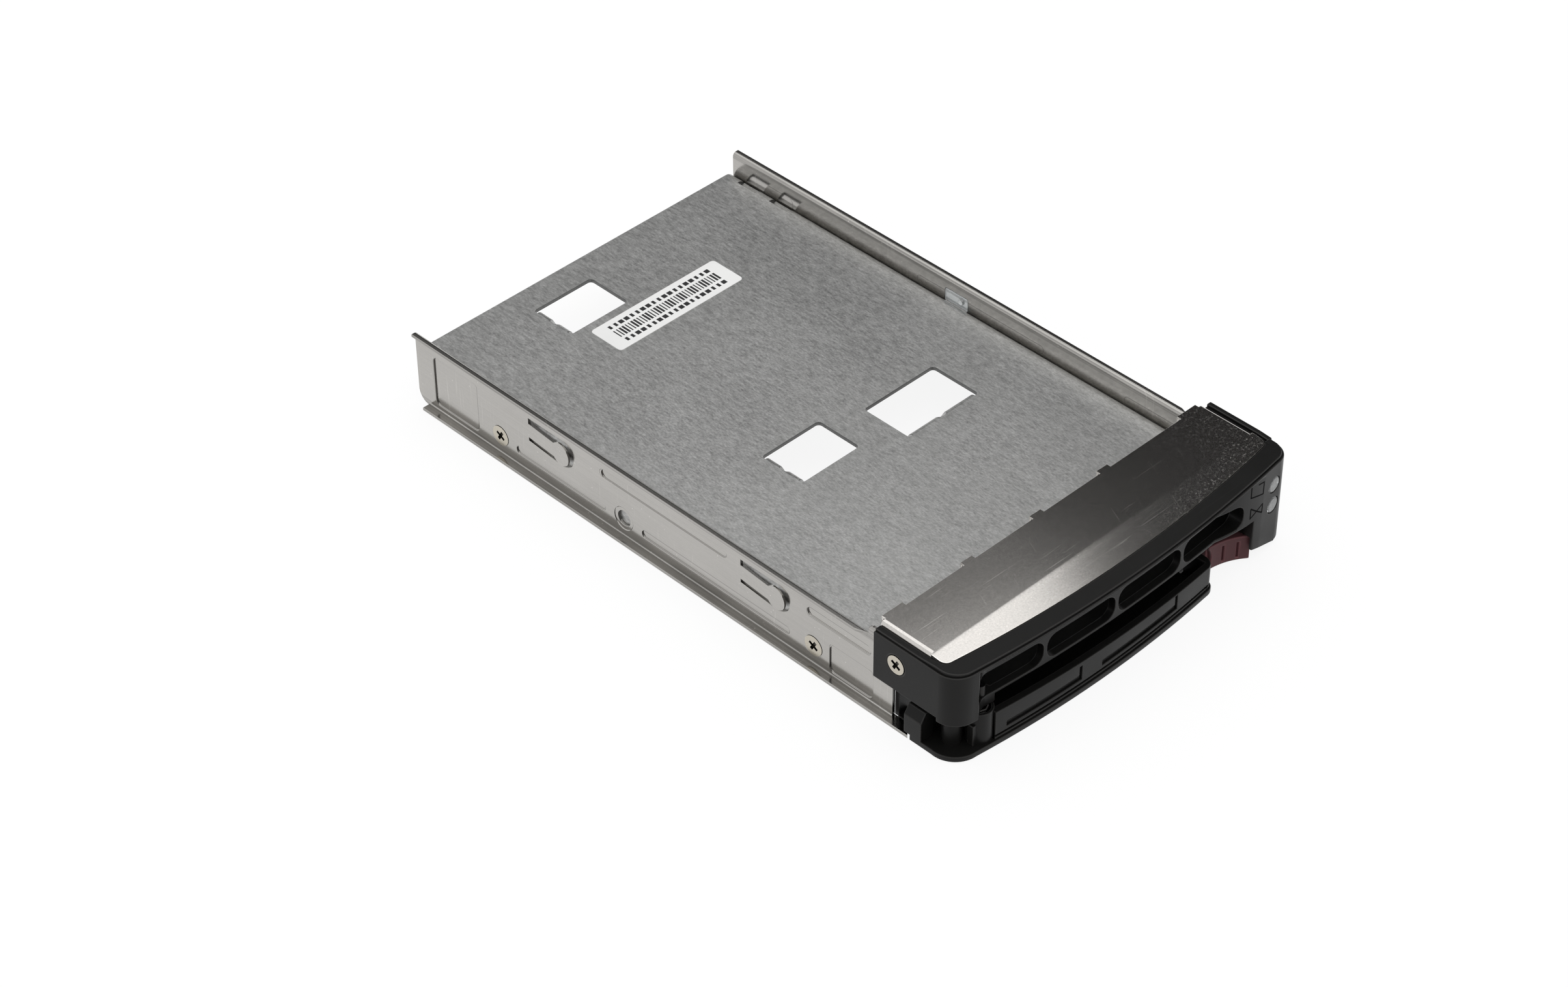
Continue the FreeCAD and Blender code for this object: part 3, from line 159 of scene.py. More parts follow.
class TrayStageSettings(bpy.types.PropertyGroup):
    """Floor, studio lights and camera."""
    floor: colour("Floor", "Colour of the pale floor", (0.13, 0.13, 0.13))
    floor_glow: share("Floor white", "White that the floor shows to the camera and to mirrors", 0.875)
    dark_card: colour("Dark card", "Light of the card beside the panel", (0.028, 0.028, 0.028))
    grey_card: colour("Grey card", "Light of the card behind the panel", (0.17, 0.17, 0.17))
    panel_place: FloatVectorProperty(name="Panel place", description="Middle of the overhead soft panel",
                                     default=(-0.003, 0.123, 1.2), size=3, subtype="TRANSLATION",
                                     unit="LENGTH")
    panel_wide: length("Panel width", "Width of the overhead soft panel", 1.475)
    panel_long: length("Panel length", "Length of the overhead soft panel", 1.83)
    panel_turn: FloatProperty(name="Panel turn", description="Turn of the panel about the upright axis",
                              default=math.radians(-19.5), subtype="ANGLE", unit="ROTATION")
    panel_power: FloatProperty(name="Panel power", description="Power of the overhead soft panel in watts",
                               default=4.9, min=0.0, unit="POWER")
    card_reach: length("Card reach", "How far the cards run on beyond the panel", 3.0)
    world: share("Room light", "Strength of the even light from all around", 0.85)
    lens: FloatProperty(name="Lens", description="Focal length of the camera in millimetres", default=88.389,
                        min=1.0)
    camera_place: FloatVectorProperty(name="Camera place", description="Where the camera stands",
                                      default=(-0.486876, -0.476508, 0.561870), size=3,
                                      subtype="TRANSLATION", unit="LENGTH")
    camera_turn: FloatVectorProperty(name="Camera turn", description="Tilt, roll and heading of the camera",
                                     default=[math.radians(d) for d in (50.144756, 0.253573, -44.659919)],
                                     size=3, subtype="EULER", unit="ROTATION")


# Mesh helpers
def fresh_mesh(node):
    """A merged copy of a CAD node's mesh with its flat faces joined up."""
    bm = bmesh.new()
    bm.from_mesh(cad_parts[node].data)
    bmesh.ops.remove_doubles(bm, verts=bm.verts[:], dist=MERGE_GAP)
    bmesh.ops.dissolve_limit(bm, angle_limit=math.radians(FLAT_TURN), use_dissolve_boundaries=False,
                             verts=bm.verts[:], edges=bm.edges[:])
    bm.normal_update()
    return bm


def sharp_edges(bm, pick=None):
    """Edges between two faces that turn by SHARP_TURN or more, and that pick allows."""
    least = math.radians(SHARP_TURN)
    found = [edge for edge in bm.edges
             if len(edge.link_faces) == 2 and edge.calc_face_angle(0.0) >= least]
    return [edge for edge in found if pick is None or pick(edge)]


def moulded_edge(edge):
    """Whether an edge stands out of a moulding and is long enough to round."""
    return edge.is_convex and edge.calc_length() > SHORT_EDGE


def looks_ahead(face):
    """Whether a face looks to the front of the tray."""
    return face.normal.y < -FACING


def mark_painted_shade(bm, depth):
    """Marks the faces for painted shade in the finish, each by the share that depth gives it."""
    painted_shade = bm.faces.layers.float.new("painted_shade")
    for face in bm.faces:
        face[painted_shade] = depth(face)


def round_edges(bm, edges, width, segments=2):
    """Bevels the edges, marks the new faces for the finish and puts stray corners back on the surface."""
    if not edges or width <= 0.0:
        return
    worn = bm.faces.layers.float.new("edge")
    surface = BVHTree.FromBMesh(bm)
    low = [min(vert.co[k] for vert in bm.verts) for k in range(3)]
    high = [max(vert.co[k] for vert in bm.verts) for k in range(3)]
    made = bmesh.ops.bevel(bm, geom=edges, offset=width, offset_type="OFFSET", affect="EDGES",
                           segments=segments, profile=0.5, material=-1, clamp_overlap=False,
                           miter_outer="SHARP", miter_inner="SHARP")
    for face in made["faces"]:
        face[worn] = 1.0
    for vert in bm.verts:
        near, _, _, gap = surface.find_nearest(vert.co)
        if gap > width * STRAY_SHARE:
            vert.co = near
        vert.co = [min(max(c, a), b) for c, a, b in zip(vert.co, low, high)]


def shade(bm):
    """Smooth shading with sharp edges where the surface turns by SMOOTH_TURN or more."""
    bm.normal_update()
    for face in bm.faces:
        face.smooth = True
    for edge in bm.edges:
        turn = edge.calc_face_angle(0.0) if len(edge.link_faces) == 2 else math.pi
        edge.smooth = turn < math.radians(SMOOTH_TURN)


def add_block(bm, middle, size, turn=Matrix()):
    """Adds a box of a size, turned about its middle."""
    place = Matrix.Translation(middle) @ turn @ Matrix.Diagonal((*size, 1.0))
    bmesh.ops.create_cube(bm, size=1.0, matrix=place)


def new_object(name, bm, material):
    """An object in the scene with a bmesh's shape and one material."""
    mesh = bpy.data.meshes.new(name)
    bm.to_mesh(mesh)
    bm.free()
    mesh.materials.append(material)
    obj = bpy.data.objects.new(name, mesh)
    bpy.context.scene.collection.objects.link(obj)
    return obj


def piece(name, bm, material, body, nodes=(), reach=None):
    """Makes the finished object and places it on its body; given a reach, it is only baked in place, on no
    body.
    """
    shade(bm)
    obj = new_object(name, bm, material)
    normals = obj.modifiers.new("face_weight", "WEIGHTED_NORMAL")
    normals.keep_sharp = True
    normals.weight = NORMAL_WEIGHT
    if reach:
        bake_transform(obj)
    else:
        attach(obj, body)
    if nodes:
        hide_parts(*nodes)


def dressed(node, material, body, width, segments=2, pick=None):
    """A CAD node's shape with its edges rounded and its finish on."""
    bm = fresh_mesh(node)
    round_edges(bm, sharp_edges(bm, pick), width, segments)
    piece(node + "_finish", bm, material, body, (node,))


def plain_finish(node, material):
    """Gives a CAD node that stays as it is its finish."""
    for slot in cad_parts[node].material_slots:
        slot.material = material


# Shader helpers
def shade_of(tint, factor):
    """A darker or paler shade of a colour."""
    return tuple(min(1.0, c * factor) for c in tint)


def link(tree, a, b):
    tree.links.new(a, b)


def new_node(tree, kind, **values):
    node = tree.nodes.new(kind)
    for key, value in values.items():
        setattr(node, key, value)
    return node


def fill(tree, sock, value):
    """Gives a socket a number, a colour or what another node puts out."""
    if isinstance(value, (int, float)):
        sock.default_value = value
    elif isinstance(value, tuple):
        sock.default_value = (*value, 1.0)
    else:
        link(tree, value, sock)


def math_node(tree, operation, a, b=None, clamp=False):
    node = new_node(tree, "ShaderNodeMath", operation=operation, use_clamp=clamp)
    fill(tree, node.inputs[0], a)
    if b is not None:
        fill(tree, node.inputs[1], b)
    return node.outputs[0]


def times(tree, a, b):
    return math_node(tree, "MULTIPLY", a, b)


def plus(tree, a, b, clamp=False):
    return math_node(tree, "ADD", a, b, clamp)


def minus(tree, a, b, clamp=False):
    return math_node(tree, "SUBTRACT", a, b, clamp)


def most(tree, a, b, clamp=False):
    return math_node(tree, "MAXIMUM", a, b, clamp)


def vary(tree, source, spread, level, clamp=False):
    """A value that a source moves by its spread about a level."""
    return plus(tree, times(tree, source, spread), level, clamp)


def ramp(tree, source, stops):
    """A colour ramp used as a grey curve; stops are (place, grey)."""
    node = new_node(tree, "ShaderNodeValToRGB")
    for element, (place, grey) in zip(node.color_ramp.elements, stops):
        element.position = place
        element.color = (grey, grey, grey, 1.0)
    link(tree, source, node.inputs["Fac"])
    return node.outputs["Color"]


def smooth_step(tree, source, start, end):
    """A soft step from 0 at start to 1 at end."""
    node = new_node(tree, "ShaderNodeMapRange", interpolation_type="SMOOTHSTEP")
    node.inputs["From Min"].default_value = start
    node.inputs["From Max"].default_value = end
    link(tree, source, node.inputs["Value"])
    return node.outputs["Result"]


def split_xyz(tree, source):
    node = new_node(tree, "ShaderNodeSeparateXYZ")
    link(tree, source, node.inputs[0])
    return node.outputs


# Places of the factor, the two colours and the result on a Mix node for colours
MIX_INPUTS = (0, 6, 7)
MIX_RESULT = 2


def blend_colour(tree, factor, a, b):
    """Mixes two colours; each input is a socket or a plain value."""
    node = new_node(tree, "ShaderNodeMix", data_type="RGBA")
    for place, value in zip(MIX_INPUTS, (factor, a, b)):
        fill(tree, node.inputs[place], value)
    return node.outputs[MIX_RESULT]


# Middle of a noise and of a tone
MIDDLE = 0.5


def scaled_noise(tree, coords, cells, detail=2.0, rough=0.5):
    """Noise with so many cells per metre along each axis."""
    mapping = new_node(tree, "ShaderNodeMapping")
    mapping.inputs["Scale"].default_value = cells
    link(tree, coords, mapping.inputs["Vector"])
    noise = new_node(tree, "ShaderNodeTexNoise")
    noise.inputs["Scale"].default_value = 1.0
    noise.inputs["Detail"].default_value = detail
    noise.inputs["Roughness"].default_value = rough
    link(tree, mapping.outputs[0], noise.inputs["Vector"])
    return noise.outputs["Fac"]


def swing(tree, coords, cells, detail=2.0, rough=0.5):
    """The same noise about zero."""
    return minus(tree, scaled_noise(tree, coords, cells, detail, rough), MIDDLE)


# Shared effects
ORIGIN = (0.0, 0.0, 0.0)

# Cells of the noises per metre along x, y and z
FINE_GRAIN = (4300.0, 1300.0, 3000.0)
MID_GRAIN = (1500.0, 430.0, 1100.0)
BROAD_GRAIN = (55.0, 40.0, 55.0)
SCRATCH_ACROSS = (60.0, 3000.0, 60.0)
SCRATCH_SLANTED = (3400.0, 70.0, 70.0)
SPECK_CELLS = 420.0
FINE_SKIN = (3600.0, 3600.0, 3600.0)
BROAD_SKIN = (70.0, 70.0, 70.0)
DRAWN_LINES = (2600.0, 9.0, 2600.0)
DRAWN_PATCHES = (300.0, 60.0, 300.0)
DUST_CELLS = (1900.0, 1900.0, 1900.0)

# Turn of the slanted scratches in degrees
SCRATCH_SLANT = 24.0

# Heights between which the rails' upper and lower lips begin, the painted shade on them, and the lines left
# on the web
UPPER_LIP = (17.5 * MM, 18.6 * MM)
LOWER_LIP = (2.6 * MM, 0.9 * MM)
LIP_SHADE = 0.26
WEB_SHARE = 0.15

# Half widths of a pressing's painted dark line, from none to full, and of its step
PRESS_SHADE_FADE = (0.17 * MM, 0.03 * MM)
PRESS_STEP_HALF = 0.22 * MM

# How far the cover's front lies ahead of the origin, and its bow per metre
COVER_FRONT = 84.0 * MM
COVER_BOW = 2.6

# Where dust begins and is full, behind the cover's front, along it and at its right end, and its shares
DUST_BEHIND = (7.0 * MM, 1.0 * MM)
DUST_ALONG = (-20.0 * MM, 30.0 * MM)
DUST_RIGHT = (28.0 * MM, 50.0 * MM)
DUST_RIGHT_SHARE = 0.6
DUST_ALL_OVER = 0.12


def new_group(name, outputs, **inputs):
    """A shader node group on a place and on named values; returns it with its inner sockets."""
    group = bpy.data.node_groups.new(name, "ShaderNodeTree")
    for label, value in {"Vector": ORIGIN, **inputs}.items():
        kind = "NodeSocketVector" if isinstance(value, tuple) else "NodeSocketFloat"
        group.interface.new_socket(name=label, in_out="INPUT", socket_type=kind).default_value = value
    for label in outputs:
        group.interface.new_socket(name=label, in_out="OUTPUT", socket_type="NodeSocketFloat")
    return group, group.nodes.new("NodeGroupInput").outputs, group.nodes.new("NodeGroupOutput").inputs


@functools.cache
def rolled_grain():
    """Fine directional grain of rolled sheet: tone, roughness shift and height."""
    group, inp, out = new_group("rolled_grain", ("Tone", "Rough", "Height"), Fine=1.0, Mid=0.7, Broad=1.0)
    fine = times(group, swing(group, inp["Vector"], FINE_GRAIN, rough=0.6), inp["Fine"])
    mid = times(group, swing(group, inp["Vector"], MID_GRAIN), inp["Fine"])
    broad = times(group, swing(group, inp["Vector"], BROAD_GRAIN), inp["Broad"])
    both = plus(group, fine, times(group, mid, inp["Mid"]))
    link(group, plus(group, both, broad), out["Tone"])
    link(group, vary(group, mid, spread=0.5, level=broad), out["Rough"])
    link(group, both, out["Height"])
    return group


@functools.cache
def hair_scratches():
    """Sparse hairline scratches and bright specks."""
    group, inp, out = new_group("hair_scratches", ("Scratch", "Speck"), Amount=1.0)
    turn = new_node(group, "ShaderNodeMapping")
    turn.inputs["Rotation"].default_value = (0.0, 0.0, math.radians(SCRATCH_SLANT))
    link(group, inp["Vector"], turn.inputs["Vector"])
    across = scaled_noise(group, inp["Vector"], SCRATCH_ACROSS, detail=1.0, rough=0.4)
    slanted = scaled_noise(group, turn.outputs[0], SCRATCH_SLANTED, detail=1.0, rough=0.4)
    lines = most(group, ramp(group, across, [(0.70, 0.0), (0.78, 1.0)]),
                 ramp(group, slanted, [(0.71, 0.0), (0.79, 1.0)]))
    spots = new_node(group, "ShaderNodeTexVoronoi")
    spots.inputs["Scale"].default_value = SPECK_CELLS
    link(group, inp["Vector"], spots.inputs["Vector"])
    dots = ramp(group, spots.outputs["Distance"], [(0.05, 1.0), (0.09, 0.0)])
    link(group, times(group, lines, inp["Amount"]), out["Scratch"])
    link(group, times(group, dots, inp["Amount"]), out["Speck"])
    return group


@functools.cache
def moulded_skin():
    """Fine spark-eroded skin of moulded plastic: tone, roughness shift and height."""
    group, inp, out = new_group("moulded_skin", ("Tone", "Rough", "Height"))
    fine = swing(group, inp["Vector"], FINE_SKIN, detail=3.0, rough=0.6)
    broad = swing(group, inp["Vector"], BROAD_SKIN, detail=3.0, rough=0.55)
    link(group, broad, out["Tone"])
    link(group, vary(group, fine, spread=0.4, level=broad), out["Rough"])
    link(group, fine, out["Height"])
    return group


@functools.cache
def drawing_lines_and_lip_shade():
    """Long faint lines that rolling and drawing leave along a formed rail, strongest on its lips, with
    painted shade laid on the lips.
    """
    group, inp, out = new_group("drawing_lines_and_lip_shade", ("Tone",), Amount=1.0)
    lines = swing(group, inp["Vector"], DRAWN_LINES, rough=0.6)
    both = vary(group, swing(group, inp["Vector"], DRAWN_PATCHES), spread=0.5, level=lines)
    height = split_xyz(group, inp["Vector"])["Z"]
    lips = most(group, smooth_step(group, height, *UPPER_LIP), smooth_step(group, height, *LOWER_LIP))
    level = vary(group, lips, spread=1.0 - WEB_SHARE, level=WEB_SHARE)
    # Painted shade on the lips
    with_lip_shade = minus(group, both, times(group, lips, LIP_SHADE))
    link(group, times(group, times(group, with_lip_shade, level), inp["Amount"]), out["Tone"])
    return group


@functools.cache
def pressed_outline():
    """Rounded outline of a shallow pressing on an upright wall: its painted shade line and its step."""
    group, inp, out = new_group("pressed_outline", ("Line", "Step"), Middle=ORIGIN, Half=(0.0, MM, MM),
                                Corner=MM)
    place, middle, half = [split_xyz(group, inp[label]) for label in ("Vector", "Middle", "Half")]
    past = []
    for axis in ("Y", "Z"):
        away = math_node(group, "ABSOLUTE", minus(group, place[axis], middle[axis]))
        past.append(minus(group, away, minus(group, half[axis], inp["Corner"])))
    over = [most(group, value, 0.0) for value in past]
    outer = math_node(group, "SQRT", plus(group, *[times(group, value, value) for value in over]))
    inner = math_node(group, "MINIMUM", most(group, *past), 0.0)
    gap = minus(group, plus(group, outer, inner), inp["Corner"])
    line = smooth_step(group, math_node(group, "ABSOLUTE", gap), *PRESS_SHADE_FADE)
    link(group, line, out["Line"])
    link(group, smooth_step(group, gap, -PRESS_STEP_HALF, PRESS_STEP_HALF), out["Step"])
    return group


@functools.cache
def handling_dust():
    """Dust and scuffs of handling, along the bowed front edge and at the right end of the cover."""
    group, inp, out = new_group("handling_dust", ("Dust",), Amount=1.0)
    place = split_xyz(group, inp["Vector"])
    bow = times(group, times(group, place["X"], place["X"]), COVER_BOW)
    behind = minus(group, plus(group, place["Y"], COVER_FRONT), bow)
    front = times(group, smooth_step(group, behind, *DUST_BEHIND),
                  smooth_step(group, place["X"], *DUST_ALONG))
    right = times(group, smooth_step(group, place["X"], *DUST_RIGHT), DUST_RIGHT_SHARE)
    where = plus(group, most(group, front, right), DUST_ALL_OVER)
    specks = scaled_noise(group, inp["Vector"], DUST_CELLS, detail=3.0, rough=0.65)
    sparse = ramp(group, specks, [(0.55, 0.0), (0.76, 1.0)])
    link(group, times(group, times(group, sparse, where), inp["Amount"]), out["Dust"])
    return group


def use_group(tree, group, coords, **values):
    """Places a shared effect in a material and returns what it puts out."""
    node = new_node(tree, "ShaderNodeGroup", node_tree=group)
    link(tree, coords, node.inputs["Vector"])
    for key, value in values.items():
        node.inputs[key].default_value = value
    return node.outputs


# Finishes
def blank_material(name):
    """A material with only a Principled shader on its output."""
    mat = bpy.data.materials.new(name)
    mat.use_nodes = True
    tree = mat.node_tree
    tree.nodes.clear()
    out = new_node(tree, "ShaderNodeOutputMaterial")
    bsdf = new_node(tree, "ShaderNodeBsdfPrincipled")
    link(tree, bsdf.outputs[0], out.inputs["Surface"])
    coords = new_node(tree, "ShaderNodeTexCoord").outputs["Object"]
    return mat, tree, bsdf, coords


def face_mask(tree, name):
    """A mask that the mesh code painted on the faces: rounded edges, or the faces that get painted shade."""
    return new_node(tree, "ShaderNodeAttribute", attribute_name=name).outputs["Fac"]


def add_bump(tree, bsdf, height, distance):
    bump = new_node(tree, "ShaderNodeBump")
    bump.inputs["Distance"].default_value = distance
    link(tree, height, bump.inputs["Height"])
    link(tree, bump.outputs[0], bsdf.inputs["Normal"])


# How strongly marks, the painted light on rounded edges and the painted shade along pressings show on sheet
# metal
METAL_EDGE_LIGHT = 0.85
SCRATCH_TONE = 0.5
SCRATCH_ROUGH = 0.12
PRESS_SHADE = 0.34
PRESS_STEP = 5.0

# How strongly marks, the painted highlight on rounded edges and the painted shade on the lens rims show on
# moulded plastic
PLASTIC_EDGE_HIGHLIGHT = 0.8
PLASTIC_WEAR = 0.5
PLASTIC_SCRATCH = 0.25
EDGE_POLISH = 0.10
LENS_RIM = 0.75

# Shallow pressings of the rails: low and high corners (along the rail, upright) and corner radius in mm
RAIL_PRESSINGS = (
    ((-58.7, 13.4), (-39.5, 15.6), 1.0),
    ((-59.5, 1.5), (-46.5, 9.3), 0.8),
    ((-34.0, 3.8), (12.5, 5.6), 0.85),
    ((-14.5, 13.7), (26.0, 15.8), 0.95),
    ((24.8, 4.0), (54.5, 6.0), 0.95),
    ((68.0, 2.2), (83.0, 16.0), 1.6),
)


def sheet_metal(name, tint, rough, painted_edge_light, fine, broad, scratch, bump, drawing_and_lip_shade=0.0, pressings=(),
                stretch=(1.0, 1.0, 1.0), cloud=0.35, mid=0.7, dust=0.0):
    """Rolled sheet: grain, faint scratches, drawing lines with painted shade on the rails' lips, outlines of
    pressings as painted shade lines, dust, painted light on its rounded cut edges and painted shade on marked
    faces.
    """
    mat, tree, bsdf, coords = blank_material(name)
    bsdf.inputs["Metallic"].default_value = 1.0
    dark, pale, bright, painted_shade = [shade_of(tint, factor) for factor in (0.55, 1.5, 1.7, 0.12)]
    grain_way = new_node(tree, "ShaderNodeMapping")
    grain_way.inputs["Scale"].default_value = stretch
    link(tree, coords, grain_way.inputs["Vector"])
    grain = use_group(tree, rolled_grain(), grain_way.outputs[0], Fine=fine, Mid=mid, Broad=broad)
    marks = use_group(tree, hair_scratches(), coords, Amount=scratch)
    tone = plus(tree, grain["Tone"], MIDDLE, clamp=True)
    height = grain["Height"]
    if drawing_and_lip_shade:
        lines = use_group(tree, drawing_lines_and_lip_shade(), coords, Amount=drawing_and_lip_shade)
        tone = plus(tree, tone, lines["Tone"], clamp=True)
    for low, high, corner in pressings:
        middle = (0.0, *[(a + b) / 2 * MM for a, b in zip(low, high)])
        half = (0.0, *[(b - a) / 2 * MM for a, b in zip(low, high)])
        pressed = use_group(tree, pressed_outline(), coords, Middle=middle, Half=half, Corner=corner * MM)
        # Painted shade along each pressing's outline
        tone = minus(tree, tone, times(tree, pressed["Line"], PRESS_SHADE), clamp=True)
        height = plus(tree, height, times(tree, pressed["Step"], PRESS_STEP))
    worn = most(tree, times(tree, marks["Scratch"], SCRATCH_TONE), marks["Speck"], clamp=True)
    base = blend_colour(tree, worn, blend_colour(tree, tone, dark, pale), bright)
    # Painted light on the rounded edges: a highlight where the edge tone is paler, shade where it is lower
    base = blend_colour(tree, times(tree, face_mask(tree, "edge"), METAL_EDGE_LIGHT), base, painted_edge_light)
    # Painted shade: the marked faces go down to a small share of the tint
    base = blend_colour(tree, face_mask(tree, "painted_shade"), base, painted_shade)
    link(tree, base, bsdf.inputs["Base Color"])
    cloudy = vary(tree, grain["Rough"], spread=cloud, level=rough)
    scuffed = plus(tree, cloudy, times(tree, marks["Scratch"], SCRATCH_ROUGH), clamp=True)
    link(tree, scuffed, bsdf.inputs["Roughness"])
    if dust:
        specks = use_group(tree, handling_dust(), coords, Amount=dust)
        link(tree, minus(tree, 1.0, specks["Dust"], clamp=True), bsdf.inputs["Metallic"])
    add_bump(tree, bsdf, height, bump)
    return mat


def moulded(name, tint, rough, painted_edge_light, depth, gloss=0.18):
    """Moulded plastic: fine skin, cloudy gloss, edges polished by handling and paler from a painted
    highlight.
    """
    mat, tree, bsdf, coords = blank_material(name)
    dark, pale = [shade_of(tint, factor) for factor in (0.75, 1.3)]
    skin = use_group(tree, moulded_skin(), coords)
    marks = use_group(tree, hair_scratches(), coords, Amount=PLASTIC_WEAR)
    edges = times(tree, face_mask(tree, "edge"), PLASTIC_EDGE_HIGHLIGHT)
    base = blend_colour(tree, plus(tree, skin["Tone"], MIDDLE, clamp=True), dark, pale)
    # Painted highlight on the rounded edges
    base = blend_colour(tree, edges, base, painted_edge_light)
    base = blend_colour(tree, times(tree, marks["Scratch"], PLASTIC_SCRATCH), base, painted_edge_light)
    link(tree, base, bsdf.inputs["Base Color"])
    cloudy = vary(tree, skin["Rough"], spread=0.30, level=rough)
    polished = minus(tree, cloudy, times(tree, edges, EDGE_POLISH), clamp=True)
    link(tree, polished, bsdf.inputs["Roughness"])
    bsdf.inputs["Specular IOR Level"].default_value = gloss
    add_bump(tree, bsdf, skin["Height"], depth)
    return mat


def printed_paper(name, tint):
    """Coated label paper, or the ink on it, with faint fibres."""
    mat, tree, bsdf, coords = blank_material(name)
    dark, pale = [shade_of(tint, factor) for factor in (0.94, 1.05)]
    skin = use_group(tree, moulded_skin(), coords)
    tone = plus(tree, skin["Tone"], MIDDLE, clamp=True)
    link(tree, blend_colour(tree, tone, dark, pale), bsdf.inputs["Base Color"])
    cloudy = vary(tree, skin["Rough"], spread=0.25, level=0.42, clamp=True)
    link(tree, cloudy, bsdf.inputs["Roughness"])
    add_bump(tree, bsdf, skin["Height"], distance=0.006 * MM)
    return mat


@functools.cache
def rail_steel():
    """Satin steel of the formed side rails."""
    metal = bpy.context.scene.tray_metal
    return sheet_metal("rail_steel", metal.rail, metal.rail_rough, painted_edge_light=shade_of(metal.rail, 0.95),
                       fine=0.08, broad=0.16, scratch=0.4, bump=0.003 * MM, drawing_and_lip_shade=0.9,
                       pressings=RAIL_PRESSINGS)


@functools.cache
def plate_steel():
    """Grey zinc coated steel of the converter plate."""
    metal = bpy.context.scene.tray_metal
    # Painted shade on the plate's rounded edges
    return sheet_metal("plate_steel", metal.plate, metal.plate_rough, painted_edge_light=shade_of(metal.plate, 0.45),
                       fine=1.0, broad=0.14, scratch=0.2, bump=0.006 * MM)


@functools.cache
def cover_steel():
    """Bright steel of the bezel cover, dusty where it is handled."""
    metal = bpy.context.scene.tray_metal
    # Painted highlight on the cover's rounded edges
    return sheet_metal("cover_steel", metal.cover, metal.cover_rough, painted_edge_light=shade_of(metal.cover, 1.6),
                       fine=0.40, broad=0.10, scratch=0.3, bump=0.0002 * MM, stretch=(0.55, 1.8, 0.9),
                       cloud=0.05, mid=0.12, dust=0.32)


@functools.cache
def nickel():
    """Warm plating of the screws."""
    tint = tuple(bpy.context.scene.tray_metal.screw)
    return sheet_metal("nickel", tint, rough=0.22, painted_edge_light=tint, fine=0.08, broad=0.20, scratch=0.3,
                       bump=0.002 * MM)


@functools.cache
def oxide_and_painted_shade():
    """Dark oxide on the pins, the clip ring and the springs, kept dark enough to paint the shade they sit in.
    """
    tint = tuple(bpy.context.scene.tray_metal.oxide)
    return sheet_metal("oxide_and_painted_shade", tint, rough=0.38, painted_edge_light=tint, fine=0.2, broad=0.2, scratch=0.3,
                       bump=0.003 * MM)


@functools.cache
def black_plastic():
    """Moulding of the bezel and the lever."""
    plastic = bpy.context.scene.tray_plastic
    # Painted highlight on the rounded edges of the bezel and lever
    return moulded("black_plastic", plastic.black, plastic.rough, painted_edge_light=shade_of(plastic.black, 4.5),
                   depth=0.010 * MM)


@functools.cache
def burgundy_plastic():
    """Moulding of the release latch."""
    tint = bpy.context.scene.tray_plastic.burgundy
    # Painted highlight on the rounded edges of the latch
    return moulded("burgundy_plastic", tint, rough=0.40, painted_edge_light=shade_of(tint, 1.7), depth=0.010 * MM)


@functools.cache
def mark_plastic():
    """Dull ground of the engraved marks."""
    tint = tuple(bpy.context.scene.tray_plastic.mark)
    return moulded("mark_plastic", tint, rough=0.6, painted_edge_light=tint, depth=0.006 * MM, gloss=0.02)


@functools.cache
def clear_plastic():
    """Clear moulding of the light guides, with faint flow marks and a shaded rim."""
    tint = bpy.context.scene.tray_plastic.clear
    mat, tree, bsdf, coords = blank_material("clear_plastic")
    dark, pale, shaded = [shade_of(tint, factor) for factor in (0.80, 1.04, 0.22)]
    skin = use_group(tree, moulded_skin(), coords)
    flow = vary(tree, skin["Tone"], spread=1.6, level=MIDDLE, clamp=True)
    rim = times(tree, face_mask(tree, "edge"), LENS_RIM)
    base = blend_colour(tree, rim, blend_colour(tree, flow, dark, pale), shaded)
    link(tree, base, bsdf.inputs["Base Color"])
    cloudy = vary(tree, skin["Rough"], spread=0.1, level=0.06, clamp=True)
    link(tree, cloudy, bsdf.inputs["Roughness"])
    bsdf.inputs["Transmission Weight"].default_value = 0.72
    bsdf.inputs["IOR"].default_value = 1.49
    add_bump(tree, bsdf, skin["Height"], distance=0.004 * MM)
    return mat


@functools.cache
def label_paper():
    """White paper of the label."""
    return printed_paper("label_paper", bpy.context.scene.tray_label.paper)


@functools.cache
def label_ink():
    """Black ink of the label."""
    return printed_paper("label_ink", bpy.context.scene.tray_label.ink)


# Pieces

# Engraved lines beside the lenses: a broken frame and two facing arrows, (across, upright) ends in mm
BEZEL_MARKS = (
    ((38.9, 20.0), (38.9, 22.9)), ((43.3, 18.7), (43.3, 22.1)),
    ((38.9, 20.0), (43.3, 18.7)), ((41.4, 22.4), (43.3, 22.1)),
    ((39.2, 13.9), (39.2, 16.7)), ((39.2, 13.9), (41.3, 14.9)), ((39.2, 16.7), (41.3, 14.9)),
    ((43.4, 13.3), (43.4, 15.8)), ((43.4, 13.3), (41.3, 14.9)), ((43.4, 15.8), (41.3, 14.9)),
)
MARK_STEP = 0.5

# Where the search for the bezel's front starts, and the way it goes
AHEAD_Y = -0.12
REARWARD = Vector((0.0, 1.0, 0.0))

# Small ribs that close the mouldings from below: name, body, low and high corners in mm
RIBS = (
    ("pivot_gusset", "lever", (-50.2, -75.1, 0.7), (-47.4, -72.7, 5.9)),
    ("arm_foot", "tray", (-50.75, -68.1, 0.1), (-47.2, -66.1, 0.8)),
    ("channel_apron", "tray", (17.0, -78.1, 0.1), (29.9, -76.9, 1.9)),
)


